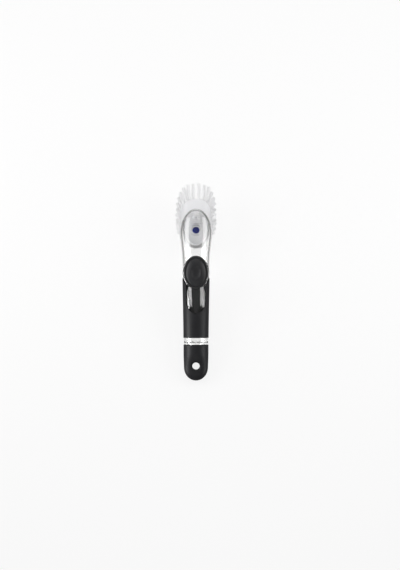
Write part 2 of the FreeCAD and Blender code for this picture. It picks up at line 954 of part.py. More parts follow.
def brush_base():
    """The rigid base of the brush: flared oval block, socket, tuft holes and the catch prongs."""
    low_square, top_square = size.base_squareness, size.base_top_squareness
    outline = [
        (
            size.base_half_width - size.base_round,
            base_half_length - size.base_round,
            low_square,
            base_middle,
            0,
        ),
        (size.base_half_width, base_half_length, low_square, base_middle, size.brush_depth * 0.22),
        (
            between(size.base_half_width, size.base_top_half_width, 0.35),
            between(base_half_length, size.base_top_half_length, 0.42),
            between(low_square, top_square, 0.42),
            base_middle * 0.5,
            size.brush_depth * 0.64,
        ),
        (size.base_top_half_width, size.base_top_half_length, top_square, 0, base_top),
    ]
    sections = [squared_section(*(formula(value).value for value in row)) for row in outline]
    flared = doc.addObject("Part::Feature", "base_flared")
    flared.Shape = Part.makeLoft(sections, True)
    pocket = oval(
        "base_pocket",
        size.base_top_half_width - size.base_rim,
        size.base_top_half_length - size.base_rim,
        pocket_floor,
        base_top + size.base_rim,
    )
    wall = rod("socket_wall", socket_wall_radius, 0, base_top)
    socket_floor = size.spigot_end - size.socket_gap
    socket = rod("spigot_socket", socket_radius_at_ring, socket_floor, base_top + 1)
    nozzle = rod("nozzle", size.nozzle_radius, -1, base_top)
    holes = solids(
        "tuft_holes",
        [
            Part.makeCylinder(
                size.tuft_root_radius.value + size.tuft_gap.value,
                size.tuft_hole_depth.value * 2,
                foot - direction * size.tuft_hole_depth.value,
                direction,
            )
            for number in range(len(TUFT_RINGS))
            for foot, direction in tuft_ring(number)
        ],
    )
    catch = block(
        "catch",
        size.catch_width,
        size.catch_length,
        catch_top - pocket_floor + size.seat_gap,
        y=size.catch_place,
        z=pocket_floor - size.seat_gap,
    )
    slot = block(
        "catch_slot",
        size.catch_slot,
        size.catch_length * 2,
        catch_top,
        y=size.catch_place,
        z=pocket_floor,
    )
    dished = joined("base_dished", cut("base_open", flared, pocket), wall)
    prongs = cut("catch_prongs", catch, slot)
    return cut("brush_base", joined("base_solid", dished, prongs), socket, nozzle, holes)


def tufts(name, number):
    """One ring of tapered tufts, each a separate solid with its root in its hole."""
    depth = size.tuft_hole_depth.value - size.staple_height.value - size.seal_gap.value * 2
    return solids(
        name,
        [
            Part.makeCone(
                size.tuft_root_radius.value,
                size.tuft_tip_radius.value,
                size.tuft_length.value + depth,
                foot - direction * depth,
                direction,
            )
            for foot, direction in tuft_ring(number)
        ],
    )


def tuft_staples():
    """The flat wire staples that hold the tufts, one at the bottom of each hole."""
    shapes = []
    for number in range(len(TUFT_RINGS)):
        for foot, direction in tuft_ring(number):
            bar = Part.makeBox(
                size.staple_width.value,
                size.staple_thick.value,
                size.staple_height.value,
                Vector(-size.staple_width.value / 2, -size.staple_thick.value / 2, 0),
            )
            depth = size.tuft_hole_depth.value - size.seal_gap.value
            bar.Placement = Placement(
                foot - direction * depth, Rotation(Z_AXIS, direction)
            )
            shapes.append(bar)
    return solids("tuft_staples", shapes)


# Every piece with the frame that it is modelled in
pieces = [
    (reservoir_body(), WAND),
    (grip_sleeve(), WAND),
    (button_bezel(), WAND),
    (pump_diaphragm(), WAND),
    (thumb_button(), WAND),
    (button_plunger(), WAND),
    (cap_gasket(), ALONG),
    (cap_core(), WAND),
    (cap_cover(), WAND),
    (head_underplate(), HEAD),
    (valve_retainer(), HEAD),
    (outlet_valve(), HEAD),
    (spigot_oring(), HEAD.multiply(Placement(Z_AXIS * size.oring_place.value, Rotation()))),
    (brush_base(), HEAD),
    (tuft_staples(), HEAD),
]
pieces += [(tufts(name, number), HEAD) for number, name in enumerate(TUFT_RINGS)]
doc.recompute()


def outline_points(piece, frame):
    """The corners of a fine mesh of a piece, in the wand's frame."""
    points = piece.Shape.copy()
    points.Placement = frame.multiply(piece.Placement)
    return points.tessellate(0.05)[0]


def height(point, angle):
    """How high a point lies once the wand is turned head upwards by the angle."""
    return point.y * math.sin(angle) + point.z * math.cos(angle)


# The wand rests on the heel of its bristles and on its cap: find the tilt at which both are level
touching = {piece.Name: outline_points(piece, frame) for piece, frame in pieces}
flat, steep = 0.0, math.radians(45)
for halving in range(40):
    middle = (flat + steep) / 2
    cap_height = min(height(point, middle) for point in touching["cap_cover"])
    heel_height = min(height(point, middle) for point in touching["outer_tufts"])
    if heel_height < cap_height:
        flat = middle
    else:
        steep = middle
rest_tilt = (flat + steep) / 2
everything = [point for points in touching.values() for point in points]
floor = min(height(point, rest_tilt) for point in everything)
lengths = [point.y * math.cos(rest_tilt) - point.z * math.sin(rest_tilt) for point in everything]
centre = (min(lengths) + max(lengths)) / 2
REST = Placement(Vector(0, -centre, -floor), Rotation(X_AXIS, math.degrees(rest_tilt)))

for piece, frame in pieces:
    piece.Placement = REST.multiply(frame)
    piece.Label = piece.Name
doc.recompute()

failed = [thing.Name for thing in doc.Objects if {"Invalid", "Error"} & set(thing.State)]
failed += [piece.Name for piece, frame in pieces if piece.Shape.isNull() or not piece.Shape.isValid()]
if failed:
    raise RuntimeError(f"these pieces did not build: {failed}")

os.makedirs("parts", exist_ok=True)
for piece, frame in pieces:
    piece.Shape.exportStep(f"parts/{piece.Name}.step")
    print(f"{piece.Name}: {len(piece.Shape.Solids)} solids, {piece.Shape.Volume:.0f} cubic mm")
print(f"rest tilt {math.degrees(rest_tilt):.4f} degrees, origin {REST.Base.y:.4f} {REST.Base.z:.4f}")
print(f"brush frame {HEAD.Base.y:.4f} {HEAD.Base.z:.4f}")
length = max(point.y for point in everything)
width = 2 * max(point.x for point in everything)
print(f"length {length:.1f} mm, width {width:.1f} mm")
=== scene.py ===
# %% [markdown]
# # A dish wand with a soap-filled handle
#
# The wand is a clear hollow handle with a black rubber sleeve, a thumb pump, a screw cap with a
# hanging hole, and a white brush that snaps on under the head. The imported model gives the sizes, the
# bodies and the joints. This lesson builds the surfaces that the eye meets around that frame.

# %% Load the frame
import json
import math

import bmesh
import bpy
import numpy as np
from mathutils import Matrix


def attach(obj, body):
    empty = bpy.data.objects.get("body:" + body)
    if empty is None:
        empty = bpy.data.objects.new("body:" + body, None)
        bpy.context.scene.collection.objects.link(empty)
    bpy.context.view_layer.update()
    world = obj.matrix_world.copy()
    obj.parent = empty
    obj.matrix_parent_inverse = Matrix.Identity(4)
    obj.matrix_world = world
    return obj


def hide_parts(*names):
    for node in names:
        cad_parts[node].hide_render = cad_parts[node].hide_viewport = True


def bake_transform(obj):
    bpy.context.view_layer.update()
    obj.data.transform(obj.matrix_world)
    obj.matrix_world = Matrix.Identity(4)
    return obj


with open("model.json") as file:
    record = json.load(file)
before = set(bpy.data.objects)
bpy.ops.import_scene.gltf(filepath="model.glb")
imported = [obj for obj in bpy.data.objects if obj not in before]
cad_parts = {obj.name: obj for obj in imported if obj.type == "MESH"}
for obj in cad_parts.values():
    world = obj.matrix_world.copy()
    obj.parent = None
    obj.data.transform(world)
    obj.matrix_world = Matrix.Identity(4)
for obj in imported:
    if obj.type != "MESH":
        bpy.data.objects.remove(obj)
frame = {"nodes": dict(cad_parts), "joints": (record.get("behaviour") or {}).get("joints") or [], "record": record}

scene = bpy.context.scene
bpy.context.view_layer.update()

# %% [markdown]
# ## Two sets of axes
#
# The wand lies tilted on its bristles and its cap, and the brush is tilted once more on the nose.
# Sizes are easier to write along each of them, so both have axes of their own: X across, Y forward to
# the bristles, Z up. The joints hold those directions, since the button moves straight down the
# handle's Z and the brush down its own.

# %% Axes of the handle and of the brush
MM = 0.001
ACROSS = np.array([1.0, 0.0, 0.0])
HANG_HOLE_PLACE = 19.5
NOSE_PLACE = 229.5
NOSE_HEIGHT = 3.0
SEAT_REACH = 28.2
BRUSH_DEPTH = 11.0


class Axes:
    """Axes on the object, in millimetres: X across the wand, Y forward and Z up."""

    def __init__(self, up):
        self.up = np.array(up)
        self.forward = np.cross(self.up, ACROSS)
        self.origin = np.zeros(3)

    def at(self, x, y, z):
        """origin + x across + y forward + z up, for whole arrays, in metres."""
        x, y, z = (value[..., None] for value in np.broadcast_arrays(x, y, z))
        return self.origin + MM * (x * ACROSS + y * self.forward + z * self.up)

    def ovals(self, middle, turn, half_width, half_length, z):
        """Flat ovals round a middle on the Y axis, each with its own half sizes and height."""
        return self.at(half_width * np.sin(turn), middle + half_length * np.cos(turn), z)

    def put(self, x, y, z, place):
        """Move the origin so that the point (x, y, z) lies at a place in metres."""
        self.origin = np.array(place) - (self.at(x, y, z) - self.origin)


joints = {joint["name"]: joint for joint in frame["joints"]}
hang_hole = next(mount for mount in frame["record"]["mounts"] if mount["name"] == "hang_hole")
wand = Axes(-np.array(joints["button_press"]["axis"]))
wand.put(0, HANG_HOLE_PLACE, 0, hang_hole["pos_m"])
brush = Axes(-np.array(joints["brush_release"]["axis"]))
brush.put(0, SEAT_REACH, BRUSH_DEPTH, wand.at(0, NOSE_PLACE, NOSE_HEIGHT))
print("handle starts at", wand.origin.round(5), "and the brush's outlet at", brush.origin.round(5))

# %% [markdown]
# ## From grids of points to closed solids
#
# Nearly every piece is a set of rings, closed rows of points that are joined by quads. Rings that
# shrink to a point close the ends. Where two forms meet, a Boolean modifier joins or cuts closed
# solids, and the result is read back as a plain mesh.

# %% Mesh helpers
WELD = 1e-7
CREASE = math.radians(32)


def skin(points, loop=False):
    """Quads over rows of points that go round; loop also joins the last row to the first."""
    rows, columns = points.shape[:2]
    index = np.arange(rows * columns).reshape(rows, columns)
    if loop:
        index = np.vstack([index, index[:1]])
    right = np.roll(index, -1, axis=1)
    quads = np.stack([index[:-1], right[:-1], right[1:], index[1:]], axis=-1)
    return points.reshape(-1, 3), quads.reshape(-1, 4)


def skins(points):
    """The same quads over many separate grids, which the first axis of points counts."""
    one, quads = skin(points[0])
    shift = len(one) * np.arange(len(points))[:, None, None]
    return points.reshape(-1, 3), (quads + shift).reshape(-1, 4)


def smooth_faces(mesh):
    """Smooth shading that stops at edges sharper than CREASE."""
    mesh.shade_smooth()
    mesh.set_sharp_from_angle(angle=CREASE)


def solid(name, points, faces, **point_values):
    """A closed mesh object, welded, with faces turned outwards and smooth shading. Each further array
    is kept at the mesh's points, for a material to read."""
    mesh = bpy.data.meshes.new(name)
    mesh.from_pydata(points.tolist(), [], faces.tolist())
    for label, values in point_values.items():
        mesh.attributes.new(label, "FLOAT", "POINT").data.foreach_set("value", values.ravel())
    shape = bmesh.new()
    shape.from_mesh(mesh)
    bmesh.ops.remove_doubles(shape, verts=shape.verts, dist=WELD)
    bmesh.ops.recalc_face_normals(shape, faces=shape.faces)
    shape.to_mesh(mesh)
    shape.free()
    smooth_faces(mesh)
    thing = bpy.data.objects.new(name, mesh)
    scene.collection.objects.link(thing)
    return thing


def carve(base, *steps):
    """Join tools to a solid or cut them from it, one after the other; the tools go away."""
    for operation, tool in steps:
        change = base.modifiers.new(tool.name, "BOOLEAN")
        change.operation = operation
        change.solver = "MANIFOLD"
        change.object = tool
    graph = bpy.context.evaluated_depsgraph_get()
    carved = bpy.data.meshes.new_from_object(base.evaluated_get(graph))
    base.modifiers.clear()
    base.data = carved
    carved.name = base.name
    for operation, tool in steps:
        bpy.data.objects.remove(tool)
    smooth_faces(carved)


def column(values):
    """A list of numbers as a column, one for each ring."""
    return np.asarray(values, float)[:, None]


def around(count):
    """Angles of one ring, from 0 at the front or top and to the right."""
    return np.linspace(0, 2 * math.pi, count, endpoint=False)[None, :]


def fillet(radius, count=5):
    """A rounded edge: radius * (1 - sin a) and radius * (1 - cos a), for a up to a right angle."""
    angle = np.linspace(0, math.pi / 2, count)
    return radius * (1 - np.sin(angle)), radius * (1 - np.cos(angle))


def unit(directions):
    """Directions brought to a length of one."""
    return directions / np.linalg.norm(directions, axis=-1, keepdims=True)


def path_length(x, y):
    """How far along a row of points each of them lies."""
    return np.concatenate([[0], np.cumsum(np.hypot(np.diff(x), np.diff(y)))])


print("edges sharper than", round(math.degrees(CREASE)), "degrees stay sharp")

# %% [markdown]
# ## Writing materials as expressions
#
# A long graph of nodes is hard to read as code. One small class stands for a wire that leaves a node,
# and sums on it add Math nodes. The other is the material in the making, and its node method adds
# every other kind of node.

# %% Material helpers
class Wire:
    """The output of a node. Sums with it add Math nodes, so 1 + wire and wire * 2 both work."""

    def __init__(self, finish, socket):
        self.finish = finish
        self.socket = socket

    def combine(self, operation, other):
        return self.finish.node("ShaderNodeMath", {0: self, 1: other}, operation=operation)

    def __add__(self, other):
        return self.combine("ADD", other)

    def __mul__(self, other):
        return self.combine("MULTIPLY", other)

    def __or__(self, other):
        return self.combine("MAXIMUM", other)

    __radd__ = __add__
    __rmul__ = __mul__


class Finish:
    """A material in the making, with the object's own coordinates at hand as place."""

    def __init__(self, name, material=None):
        self.material = material or bpy.data.materials.new(name)
        self.material.use_nodes = True
        self.tree = self.material.node_tree
        self.tree.nodes.clear()
        self.place = self.node("ShaderNodeTexCoord", output="Object")

    def node(self, kind, sockets=None, output=0, **settings):
        """Add a node: its settings first, then the value or the wire of each named socket."""
        made = self.tree.nodes.new(kind)
        for name, value in settings.items():
            setattr(made, name, value)
        for name, value in (sockets or {}).items():
            if isinstance(value, Wire):
                self.tree.links.new(value.socket, made.inputs[name])
            else:
                made.inputs[name].default_value = value
        return Wire(self, made.outputs[output]) if made.outputs else None

    def patches(self, across, detail=2.0):
        """Soft random patches about this many millimetres across, from 0 to 1."""
        sockets = {"Vector": self.place, "Scale": 1 / (across * MM), "Detail": detail}
        return self.node("ShaderNodeTexNoise", sockets)

    def tint(self, share, low, high):
        """The colour that lies the given share of the way from low to high."""
        return self.node("ShaderNodeMix", {0: share, 6: low, 7: high}, 2, data_type="RGBA")

    def relief(self, height, depth, strength):
        """A bump of this depth in millimetres."""
        sockets = {"Height": height, "Distance": depth * MM, "Strength": strength}
        return self.node("ShaderNodeBump", sockets, "Normal")

    def surface(self, **sockets):
        """End the material in the standard shader; socket names have _ for a space."""
        named = {name.replace("_", " "): value for name, value in sockets.items()}
        shader = self.node("ShaderNodeBsdfPrincipled", named)
        self.node("ShaderNodeOutputMaterial", {"Surface": shader})
        return self.material


def grey(level, blue=0.0):
    """A grey with a little more or less blue in it, as a colour socket takes it."""
    return (level, level, level + blue, 1.0)


print("material helpers ready")

# %% [markdown]
# ## Clear plastics
#
# The handle is clear copolyester. Moulding leaves faint waves and handling a haze, so the roughness
# drifts by a few hundredths and a very shallow bump bends what is seen through it. The milky ring
# round the valve is the same plastic with less transmission.

# %% Clear plastic, clear plate and milky plastic
POLISH = 0.015


def clear_finish(name, low, high, haze, transmission, cover=1.0):
    """Clear plastic between two tints, with a haze that is added to its roughness in patches. Where
    cover is less than 1, the rest of the light goes straight through, as in a thin plate."""
    finish = Finish(name)
    handling = finish.patches(across=11.0, detail=3.0)
    waves = finish.patches(across=18.0, detail=1.0)
    return finish.surface(
        Base_Color=finish.tint(handling, low, high),
        Roughness=POLISH + handling * haze,
        IOR=1.5,
        Transmission_Weight=transmission,
        Alpha=cover,
        Normal=finish.relief(waves, depth=0.03, strength=0.25),
    )


clear_plastic = clear_finish(
    "clear_plastic", grey(0.98, -0.008), grey(0.997, -0.002), haze=0.03, transmission=1.0
)
clear_plate = clear_finish(
    "clear_plate", grey(0.975, -0.008), grey(0.995, -0.002), haze=0.04, transmission=1.0, cover=0.3
)
milky_plastic = clear_finish(
    "milky_plastic", grey(0.84, 0.02), grey(0.92, 0.02), haze=0.2, transmission=0.35
)
print("clear finishes:", clear_plastic.name, clear_plate.name, milky_plastic.name)

# %% [markdown]
# ## Rubbers and opaque plastics
#
# Soft-touch rubber is dark, with a fine even grain that spreads its highlights, and a little shinier
# where hands rub it. A patchy roughness and a bump about a third of a millimetre across give both. The
# moulded plastics share the recipe with less grain.

# %% Rubbers and moulded plastics
WEAR_SHARE = 0.75
PORE_ROUGHNESS = 0.06


def moulded_finish(name, low, high, gloss, rubbed, grain, depth, shine=0.5):
    """Grained material: colour between low and high, roughness from gloss up, bump of that depth."""
    finish = Finish(name)
    wear = finish.patches(across=14.0, detail=3.0)
    pores = finish.patches(grain)
    return finish.surface(
        Base_Color=finish.tint(WEAR_SHARE * wear + (1 - WEAR_SHARE) * pores, low, high),
        Roughness=gloss + wear * rubbed + pores * PORE_ROUGHNESS,
        IOR=1.48,
        Specular_IOR_Level=shine,
        Normal=finish.relief(pores, depth, strength=0.35),
    )


grip_rubber = moulded_finish(
    "grip_rubber", grey(0.012, 0.001), grey(0.02, 0.002),
    gloss=0.33, rubbed=0.1, grain=0.3, depth=0.03, shine=0.15,
)
button_rubber = moulded_finish(
    "button_rubber", grey(0.014, 0.001), grey(0.022, 0.002),
    gloss=0.32, rubbed=0.08, grain=0.35, depth=0.02, shine=0.28,
)
black_plastic = moulded_finish(
    "black_plastic", grey(0.012, 0.001), grey(0.02, 0.001),
    gloss=0.26, rubbed=0.12, grain=0.6, depth=0.015,
)
black_rubber = moulded_finish(
    "black_rubber", grey(0.02, 0.001), grey(0.034, 0.002), gloss=0.5, rubbed=0.12, grain=0.4, depth=0.03
)
seal_rubber = moulded_finish(
    "seal_rubber", grey(0.52), grey(0.66), gloss=0.4, rubbed=0.12, grain=0.5, depth=0.02
)
valve_rubber = moulded_finish(
    "valve_rubber", (0.004, 0.01, 0.12, 1.0), (0.008, 0.02, 0.19, 1.0),
    gloss=0.34, rubbed=0.12, grain=0.4, depth=0.015, shine=0.15,
)
white_plastic = moulded_finish(
    "white_plastic", grey(0.8, 0.015), grey(0.86, 0.015), gloss=0.3, rubbed=0.1, grain=0.9, depth=0.012
)
print("moulded finishes:", grip_rubber.name, button_rubber.name, white_plastic.name)

# %% [markdown]
# ## Bristles and staple wire
#
# A bristle is a nylon filament, white, and light goes a little way into it. Its colour carries painted
# shade: greyer at the root and whiter at the tip, for the light that is lost between the filaments of
# a bundle. Each filament carries two numbers in its mesh: how far along it a point lies, and a tint of
# its own. The staples are bright flat wire.

# %% Bristle and staple finishes
PAINTED_SHADE_WEIGHT = 0.6
GLOW_DEPTH = 0.3 * MM


def bristle_finish():
    """Nylon with painted shade: greyer at the root and whiter at the tip, each filament with its own tint."""
    finish = Finish("bristle_nylon")
    along = finish.node("ShaderNodeAttribute", output="Fac", attribute_name="along")
    own = finish.node("ShaderNodeAttribute", output="Fac", attribute_name="own_tint")
    # Painted shade: the colour greys towards the root, where light is lost between filaments, mixed with each
    # filament's own random tint.
    share = along * PAINTED_SHADE_WEIGHT + own * (1 - PAINTED_SHADE_WEIGHT)
    return finish.surface(
        Base_Color=finish.tint(share, grey(0.97, 0.008), grey(0.995, 0.002)),
        Roughness=0.35 + own * 0.15,
        IOR=1.53,
        Subsurface_Weight=0.2,
        Subsurface_Radius=(1.0, 1.0, 1.0),
        Subsurface_Scale=GLOW_DEPTH,
    )


def staple_finish():
    """Bright flat wire with fine marks from drawing."""
    finish = Finish("staple_wire")
    marks = finish.patches(across=0.25)
    return finish.surface(
        Base_Color=finish.tint(marks, grey(0.5), grey(0.66)),
        Roughness=0.25 + marks * 0.2,
        Metallic=1.0,
    )


bristle_nylon = bristle_finish()
staple_wire = staple_finish()
print("bristle and wire finishes:", bristle_nylon.name, staple_wire.name)

# %% [markdown]
# ## Putting a piece in its place
#
# Each new surface stands for a node of the imported model. It rides on that node's body and hides the
# node.

# %% Install helper
def install(piece, material, body, slot, *nodes):
    """Give a piece its material and body, and let it stand for its CAD nodes."""
    piece.data.materials.clear()
    piece.data.materials.append(material)
    if body:
        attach(piece, body)
    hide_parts(*nodes)
    triangles = sum(len(face.vertices) - 2 for face in piece.data.polygons)
    print(f"{piece.name}: {len(piece.data.vertices)} points, {triangles} triangles")


# %% [markdown]
# ## The clear handle: its outline
#
# The handle is a skin through oval sections: a round ring at the cap, a deck under the button and a
# wide dome at the head. Straight blends would show corners, and a common spline may bulge. Cubic
# pieces with a careful slope do neither. The nose closes like an egg.

# %% Sections of the handle
SHOULDER = 48.2
BUTTON_PLACE = 144.6
HEAD_WIDE = 197.4
NOSE_LENGTH = NOSE_PLACE - HEAD_WIDE
WALL = 2.2
SECTION_PLACE = np.array([SHOULDER, 57.0, 90.29, 118.32, BUTTON_PLACE, 165.72, 178.92, HEAD_WIDE])
SECTION_HALF_WIDTH = np.array([15.9, 15.9, 16.35, 16.875, 17.4, 18.264, 19.452, 21.0])
RING_RADIUS = SECTION_HALF_WIDTH[0]
SECTION_HALF_HEIGHT = np.array([15.9, 15.9, 15.675, 15.315, 15.0, 14.91, 14.73, 14.1])
SECTION_CENTRE = np.array([0.0, 0.0, -0.46, -1.495, -2.3, -2.34, -2.365, -2.4])
CROWN_RISE = 8.7
NOSE_CLIMB = 1.5


def flowing(y, values, places=SECTION_PLACE, end_slope=0.0):
    """Cubic pieces through the values that never overshoot: the slope at a section is the harmonic
    mean of the steps on its two sides, or level where they turn, and at the two ends it is the
    end_slope share of the last step."""
    span = np.diff(places)
    steps = np.diff(values) / span
    both = steps[:-1] * steps[1:]
    slopes = np.zeros(len(values))
    slopes[[0, -1]] = end_slope * steps[[0, -1]]
    turning = both > 0
    slopes[1:-1][turning] = 2 * both[turning] / (steps[:-1] + steps[1:])[turning]
    first = np.clip(np.searchsorted(places, y, side="right") - 1, 0, len(span) - 1)
    share = np.clip((y - places[first]) / span[first], 0, 1)
    rest = 1 - share
    start = rest * rest * ((1 + 2 * share) * values[first] + share * span[first] * slopes[first])
    end = share * share * ((1 + 2 * rest) * values[first + 1] - rest * span[first] * slopes[first + 1])
    return start + end


def handle_rings(turn, y, grow=0.0):
    """Ovals round the handle: half width and half height of the section at y, both grown alike."""
    half_width = flowing(y, SECTION_HALF_WIDTH) + grow
    half_height = flowing(y, SECTION_HALF_HEIGHT) + grow
    centre = flowing(y, SECTION_CENTRE)
    return wand.at(half_width * np.sin(turn), y, centre + half_height * np.cos(turn))


def round_rings(turn, y, radius):
    """Circles round the handle's axis, the radius free to change round each of them."""
    return wand.at(radius * np.sin(turn), y, radius * np.cos(turn))


def nose_rings(turn, count, wall=0.0):
    """The egg-shaped nose: for an angle a up to a right angle, the length grows with sin a, the width
    and the crown shrink with cos a, and the middle climbs to the nose's tip."""
    angle = column(np.linspace(0, math.pi / 2, count + 1)[1:])
    shrink = np.cos(angle)
    y = HEAD_WIDE + (NOSE_LENGTH - wall) * np.sin(angle)
    half_width = (SECTION_HALF_WIDTH[-1] - wall) * shrink
    centre = SECTION_CENTRE[-1] + (NOSE_HEIGHT - SECTION_CENTRE[-1]) * np.sin(angle) ** NOSE_CLIMB
    half_height = NOSE_HEIGHT + CROWN_RISE * shrink - centre - wall * shrink
    return wand.at(half_width * np.sin(turn), y, centre + half_height * np.cos(turn))


print("handle half width at the button:", flowing(BUTTON_PLACE, SECTION_HALF_WIDTH))

# %% [markdown]
# ## The clear handle: outside and inside
#
# The outside runs from the filling neck, with its two-start thread, over the shoulder and the tube to
# the nose. On a grid a thread is simply a height over the neck, a band that climbs by the lead in one
# turn. The inside is a second closed skin, one wall further in, that is cut away.

# %% Outside and inside of the handle
NECK_END = 36.0
NECK_RADIUS = 12.3
NECK_BORE = 10.3
THREAD_LEAD = 8.0
THREAD_TURNS = 0.6
THREAD_STARTS = 2
THREAD_ENTRY = 0.25
THREAD_PLACE = NECK_END + 2.3
THREAD_DEPTH = 0.9
THREAD_FOOT = 1.1
THREAD_SLOPE = 0.5
THREAD_FADE = 0.05
NECK_EDGE = 0.4
NECK_STOP = 0.05
EDGE_ROUND = 0.5
OVERCUT = 1.0


def thread_height(turn, y):
    """Height of the thread over the neck: THREAD_DEPTH inside a sloping band round the line
    y = THREAD_PLACE + THREAD_LEAD * turns, for each start, fading out at both of its ends."""
    height = np.zeros(np.broadcast(turn, y).shape)
    for start in range(THREAD_STARTS):
        turns = np.mod(turn / (2 * math.pi) - THREAD_ENTRY - start / THREAD_STARTS, 1)
        off_line = np.abs(y - THREAD_PLACE - THREAD_LEAD * turns)
        ridge = np.clip((THREAD_FOOT - off_line) / THREAD_SLOPE, 0, 1)
        fade = np.clip(np.minimum(turns, THREAD_TURNS - turns) / THREAD_FADE, 0, 1)
        height = np.maximum(height, THREAD_DEPTH * ridge * fade)
    return height


def handle_outside():
    """Neck, shoulder, tube and nose as one closed skin."""
    turn = around(144)
    neck = column(np.linspace(NECK_END + NECK_EDGE, SHOULDER - NECK_STOP, 56))
    inset, rise = (column(part) for part in fillet(EDGE_ROUND))
    tube = column(np.linspace(SHOULDER + EDGE_ROUND, HEAD_WIDE, 112)[1:])
    return np.vstack([
        round_rings(turn, column([NECK_END, NECK_END]), column([0, NECK_RADIUS - NECK_EDGE])),
        round_rings(turn, neck, NECK_RADIUS + thread_height(turn, neck)),
        round_rings(turn, column([SHOULDER]), column([NECK_RADIUS])),
        round_rings(turn, SHOULDER + rise, RING_RADIUS - inset),
        handle_rings(turn, tube),
        nose_rings(turn, 40),
    ])


def handle_inside():
    """Bore of the neck, floor, tube and nose, one wall in from the outside."""
    turn = around(112)
    floor = SHOULDER + WALL
    low = column([NECK_END - OVERCUT, NECK_END - OVERCUT, floor, floor])
    tube = column(np.linspace(floor, HEAD_WIDE, 90))
    return np.vstack([
        round_rings(turn, low, column([0, NECK_BORE, NECK_BORE, RING_RADIUS - WALL - EDGE_ROUND])),
        handle_rings(turn, tube[1:], -WALL),
        nose_rings(turn, 32, WALL),
    ])


bottle = solid("clear_handle", *skin(handle_outside()))
hollow = solid("hollow", *skin(handle_inside()))
print("outside and inside:", len(bottle.data.polygons), "and", len(hollow.data.polygons), "faces")

# %% [markdown]
# ## The clear handle: collar, lug, ribs and seat
#
# Round the button the handle rises to an oval collar, open in the middle for the pump. A small lug on
# the ring lines up with the cap, two ribs under the crown guide the soap to the outlet, and the head
# is cut flat where the brush sits.

# %% Collar, lug, ribs and seat
COLLAR_TOP = 14.0
COLLAR_BEVEL = 1.2
COLLAR_BEVEL_DROP = 0.8
PUMP_FLOOR = -2.3
PUMP_LIP = 0.5
DECK_UNDERSIDE = 11.6
CORNER = 7.0
LUG_PLACE = 52.0
RIB_PLACE = NOSE_PLACE - SEAT_REACH - 23.5
RIB_SPACING = 8.4
CROWN_INSIDE = 9.5
SIDES = {"left": -1, "right": 1}


def oval_tower(name, half_width, half_length, inset, height):
    """A closed tower of flat ovals round the button's axis, each of them drawn in by its inset."""
    width, length = (column([0, *(half - np.array(inset)), 0]) for half in (half_width, half_length))
    z = column([height[0], *height, height[-1]])
    return solid(name, *skin(wand.ovals(BUTTON_PLACE, around(128), width, length, z)))


def pad(name, place, half_width, half_length, low, high, edge):
    """A low block with rounded edges. place turns (across, along, height) into points. Its rings are
    superellipses, half * sign(s) * |s|**(2 / CORNER) of a sine s, drawn in at the edges."""
    turn = around(48)
    inward, upward = fillet(edge, 4)
    inset = column([*inward, *upward])
    across, along = (
        np.pad((half - inset) * np.sign(wave) * np.abs(wave) ** (2 / CORNER), ((1, 1), (0, 0)))
        for half, wave in ((half_width, np.sin(turn)), (half_length, np.cos(turn)))
    )
    level = column([low, *(low + upward), *(high - inward), high])
    return solid(name, *skin(place(across, along, level)))


def lug_place(across, along, height):
    """Wraps the lug round the ring: across becomes an angle, height a radius."""
    angle = across / RING_RADIUS
    return wand.at(height * np.sin(angle), LUG_PLACE + along, height * np.cos(angle))


def shifted(axes, x, y):
    """Places a pad with its middle at x and y of these axes."""
    return lambda across, along, height: axes.at(x + across, y + along, height)


collar = oval_tower(
    "collar", half_width=17.6, half_length=23.3,
    inset=[0, 0, COLLAR_BEVEL], height=[0, COLLAR_TOP - COLLAR_BEVEL_DROP, COLLAR_TOP],
)
pump_opening = oval_tower(
    "pump_opening", half_width=15.4, half_length=21.1, inset=[0, 0, PUMP_LIP, PUMP_LIP],
    height=[PUMP_FLOOR, DECK_UNDERSIDE, DECK_UNDERSIDE, COLLAR_TOP + 2 * OVERCUT],
)
lug = pad(
    "lug", lug_place,
    half_width=6.5, half_length=1.3, low=RING_RADIUS - 1.0, high=RING_RADIUS + 0.7, edge=0.3,
)
ribs = [
    pad(
        f"{side}_rib", shifted(wand, sign * RIB_SPACING, RIB_PLACE),
        half_width=0.6, half_length=3.5, low=CROWN_INSIDE - 6.3, high=CROWN_INSIDE + 0.9, edge=0.2,
    )
    for side, sign in SIDES.items()
]
seat_box = pad(
    "seat_box", brush.at, half_width=60.0, half_length=70.0, low=-60.0, high=BRUSH_DEPTH, edge=0.001
)
carve(
    bottle,
    ("UNION", collar),
    ("UNION", lug),
    ("DIFFERENCE", hollow),
    ("DIFFERENCE", pump_opening),
    *(("UNION", rib) for rib in ribs),
    ("DIFFERENCE", seat_box),
)
install(bottle, clear_plastic, "wand", "clear_plastic", "reservoir_body")

# %% [markdown]
# ## The grip sleeve
#
# The sleeve is a thin rubber skin with a U-shaped window that runs up to the button. A cut would
# leave a knife edge, so every line of its grid runs up to one curve, which goes round the window,
# along the collar and round the back. The edges are half-round.

# %% Upper edge of the sleeve
SLEEVE_START = 57.2
SLEEVE_END = 137.0
SLEEVE_GAP = 0.1
SLEEVE_WALL = 0.9
SLEEVE_MIDDLE = SLEEVE_GAP + SLEEVE_WALL / 2
WINDOW_HALF_WIDTH = 13.1
WINDOW_START = 90.0
WINDOW_ROUND = 18.0
CUT_HALF_WIDTH = 18.0
CUT_HALF_LENGTH = 23.7
SLEEVE_COLUMNS = 200
EDGE_DETAIL = 4
CORNER_ROUND = 1.1


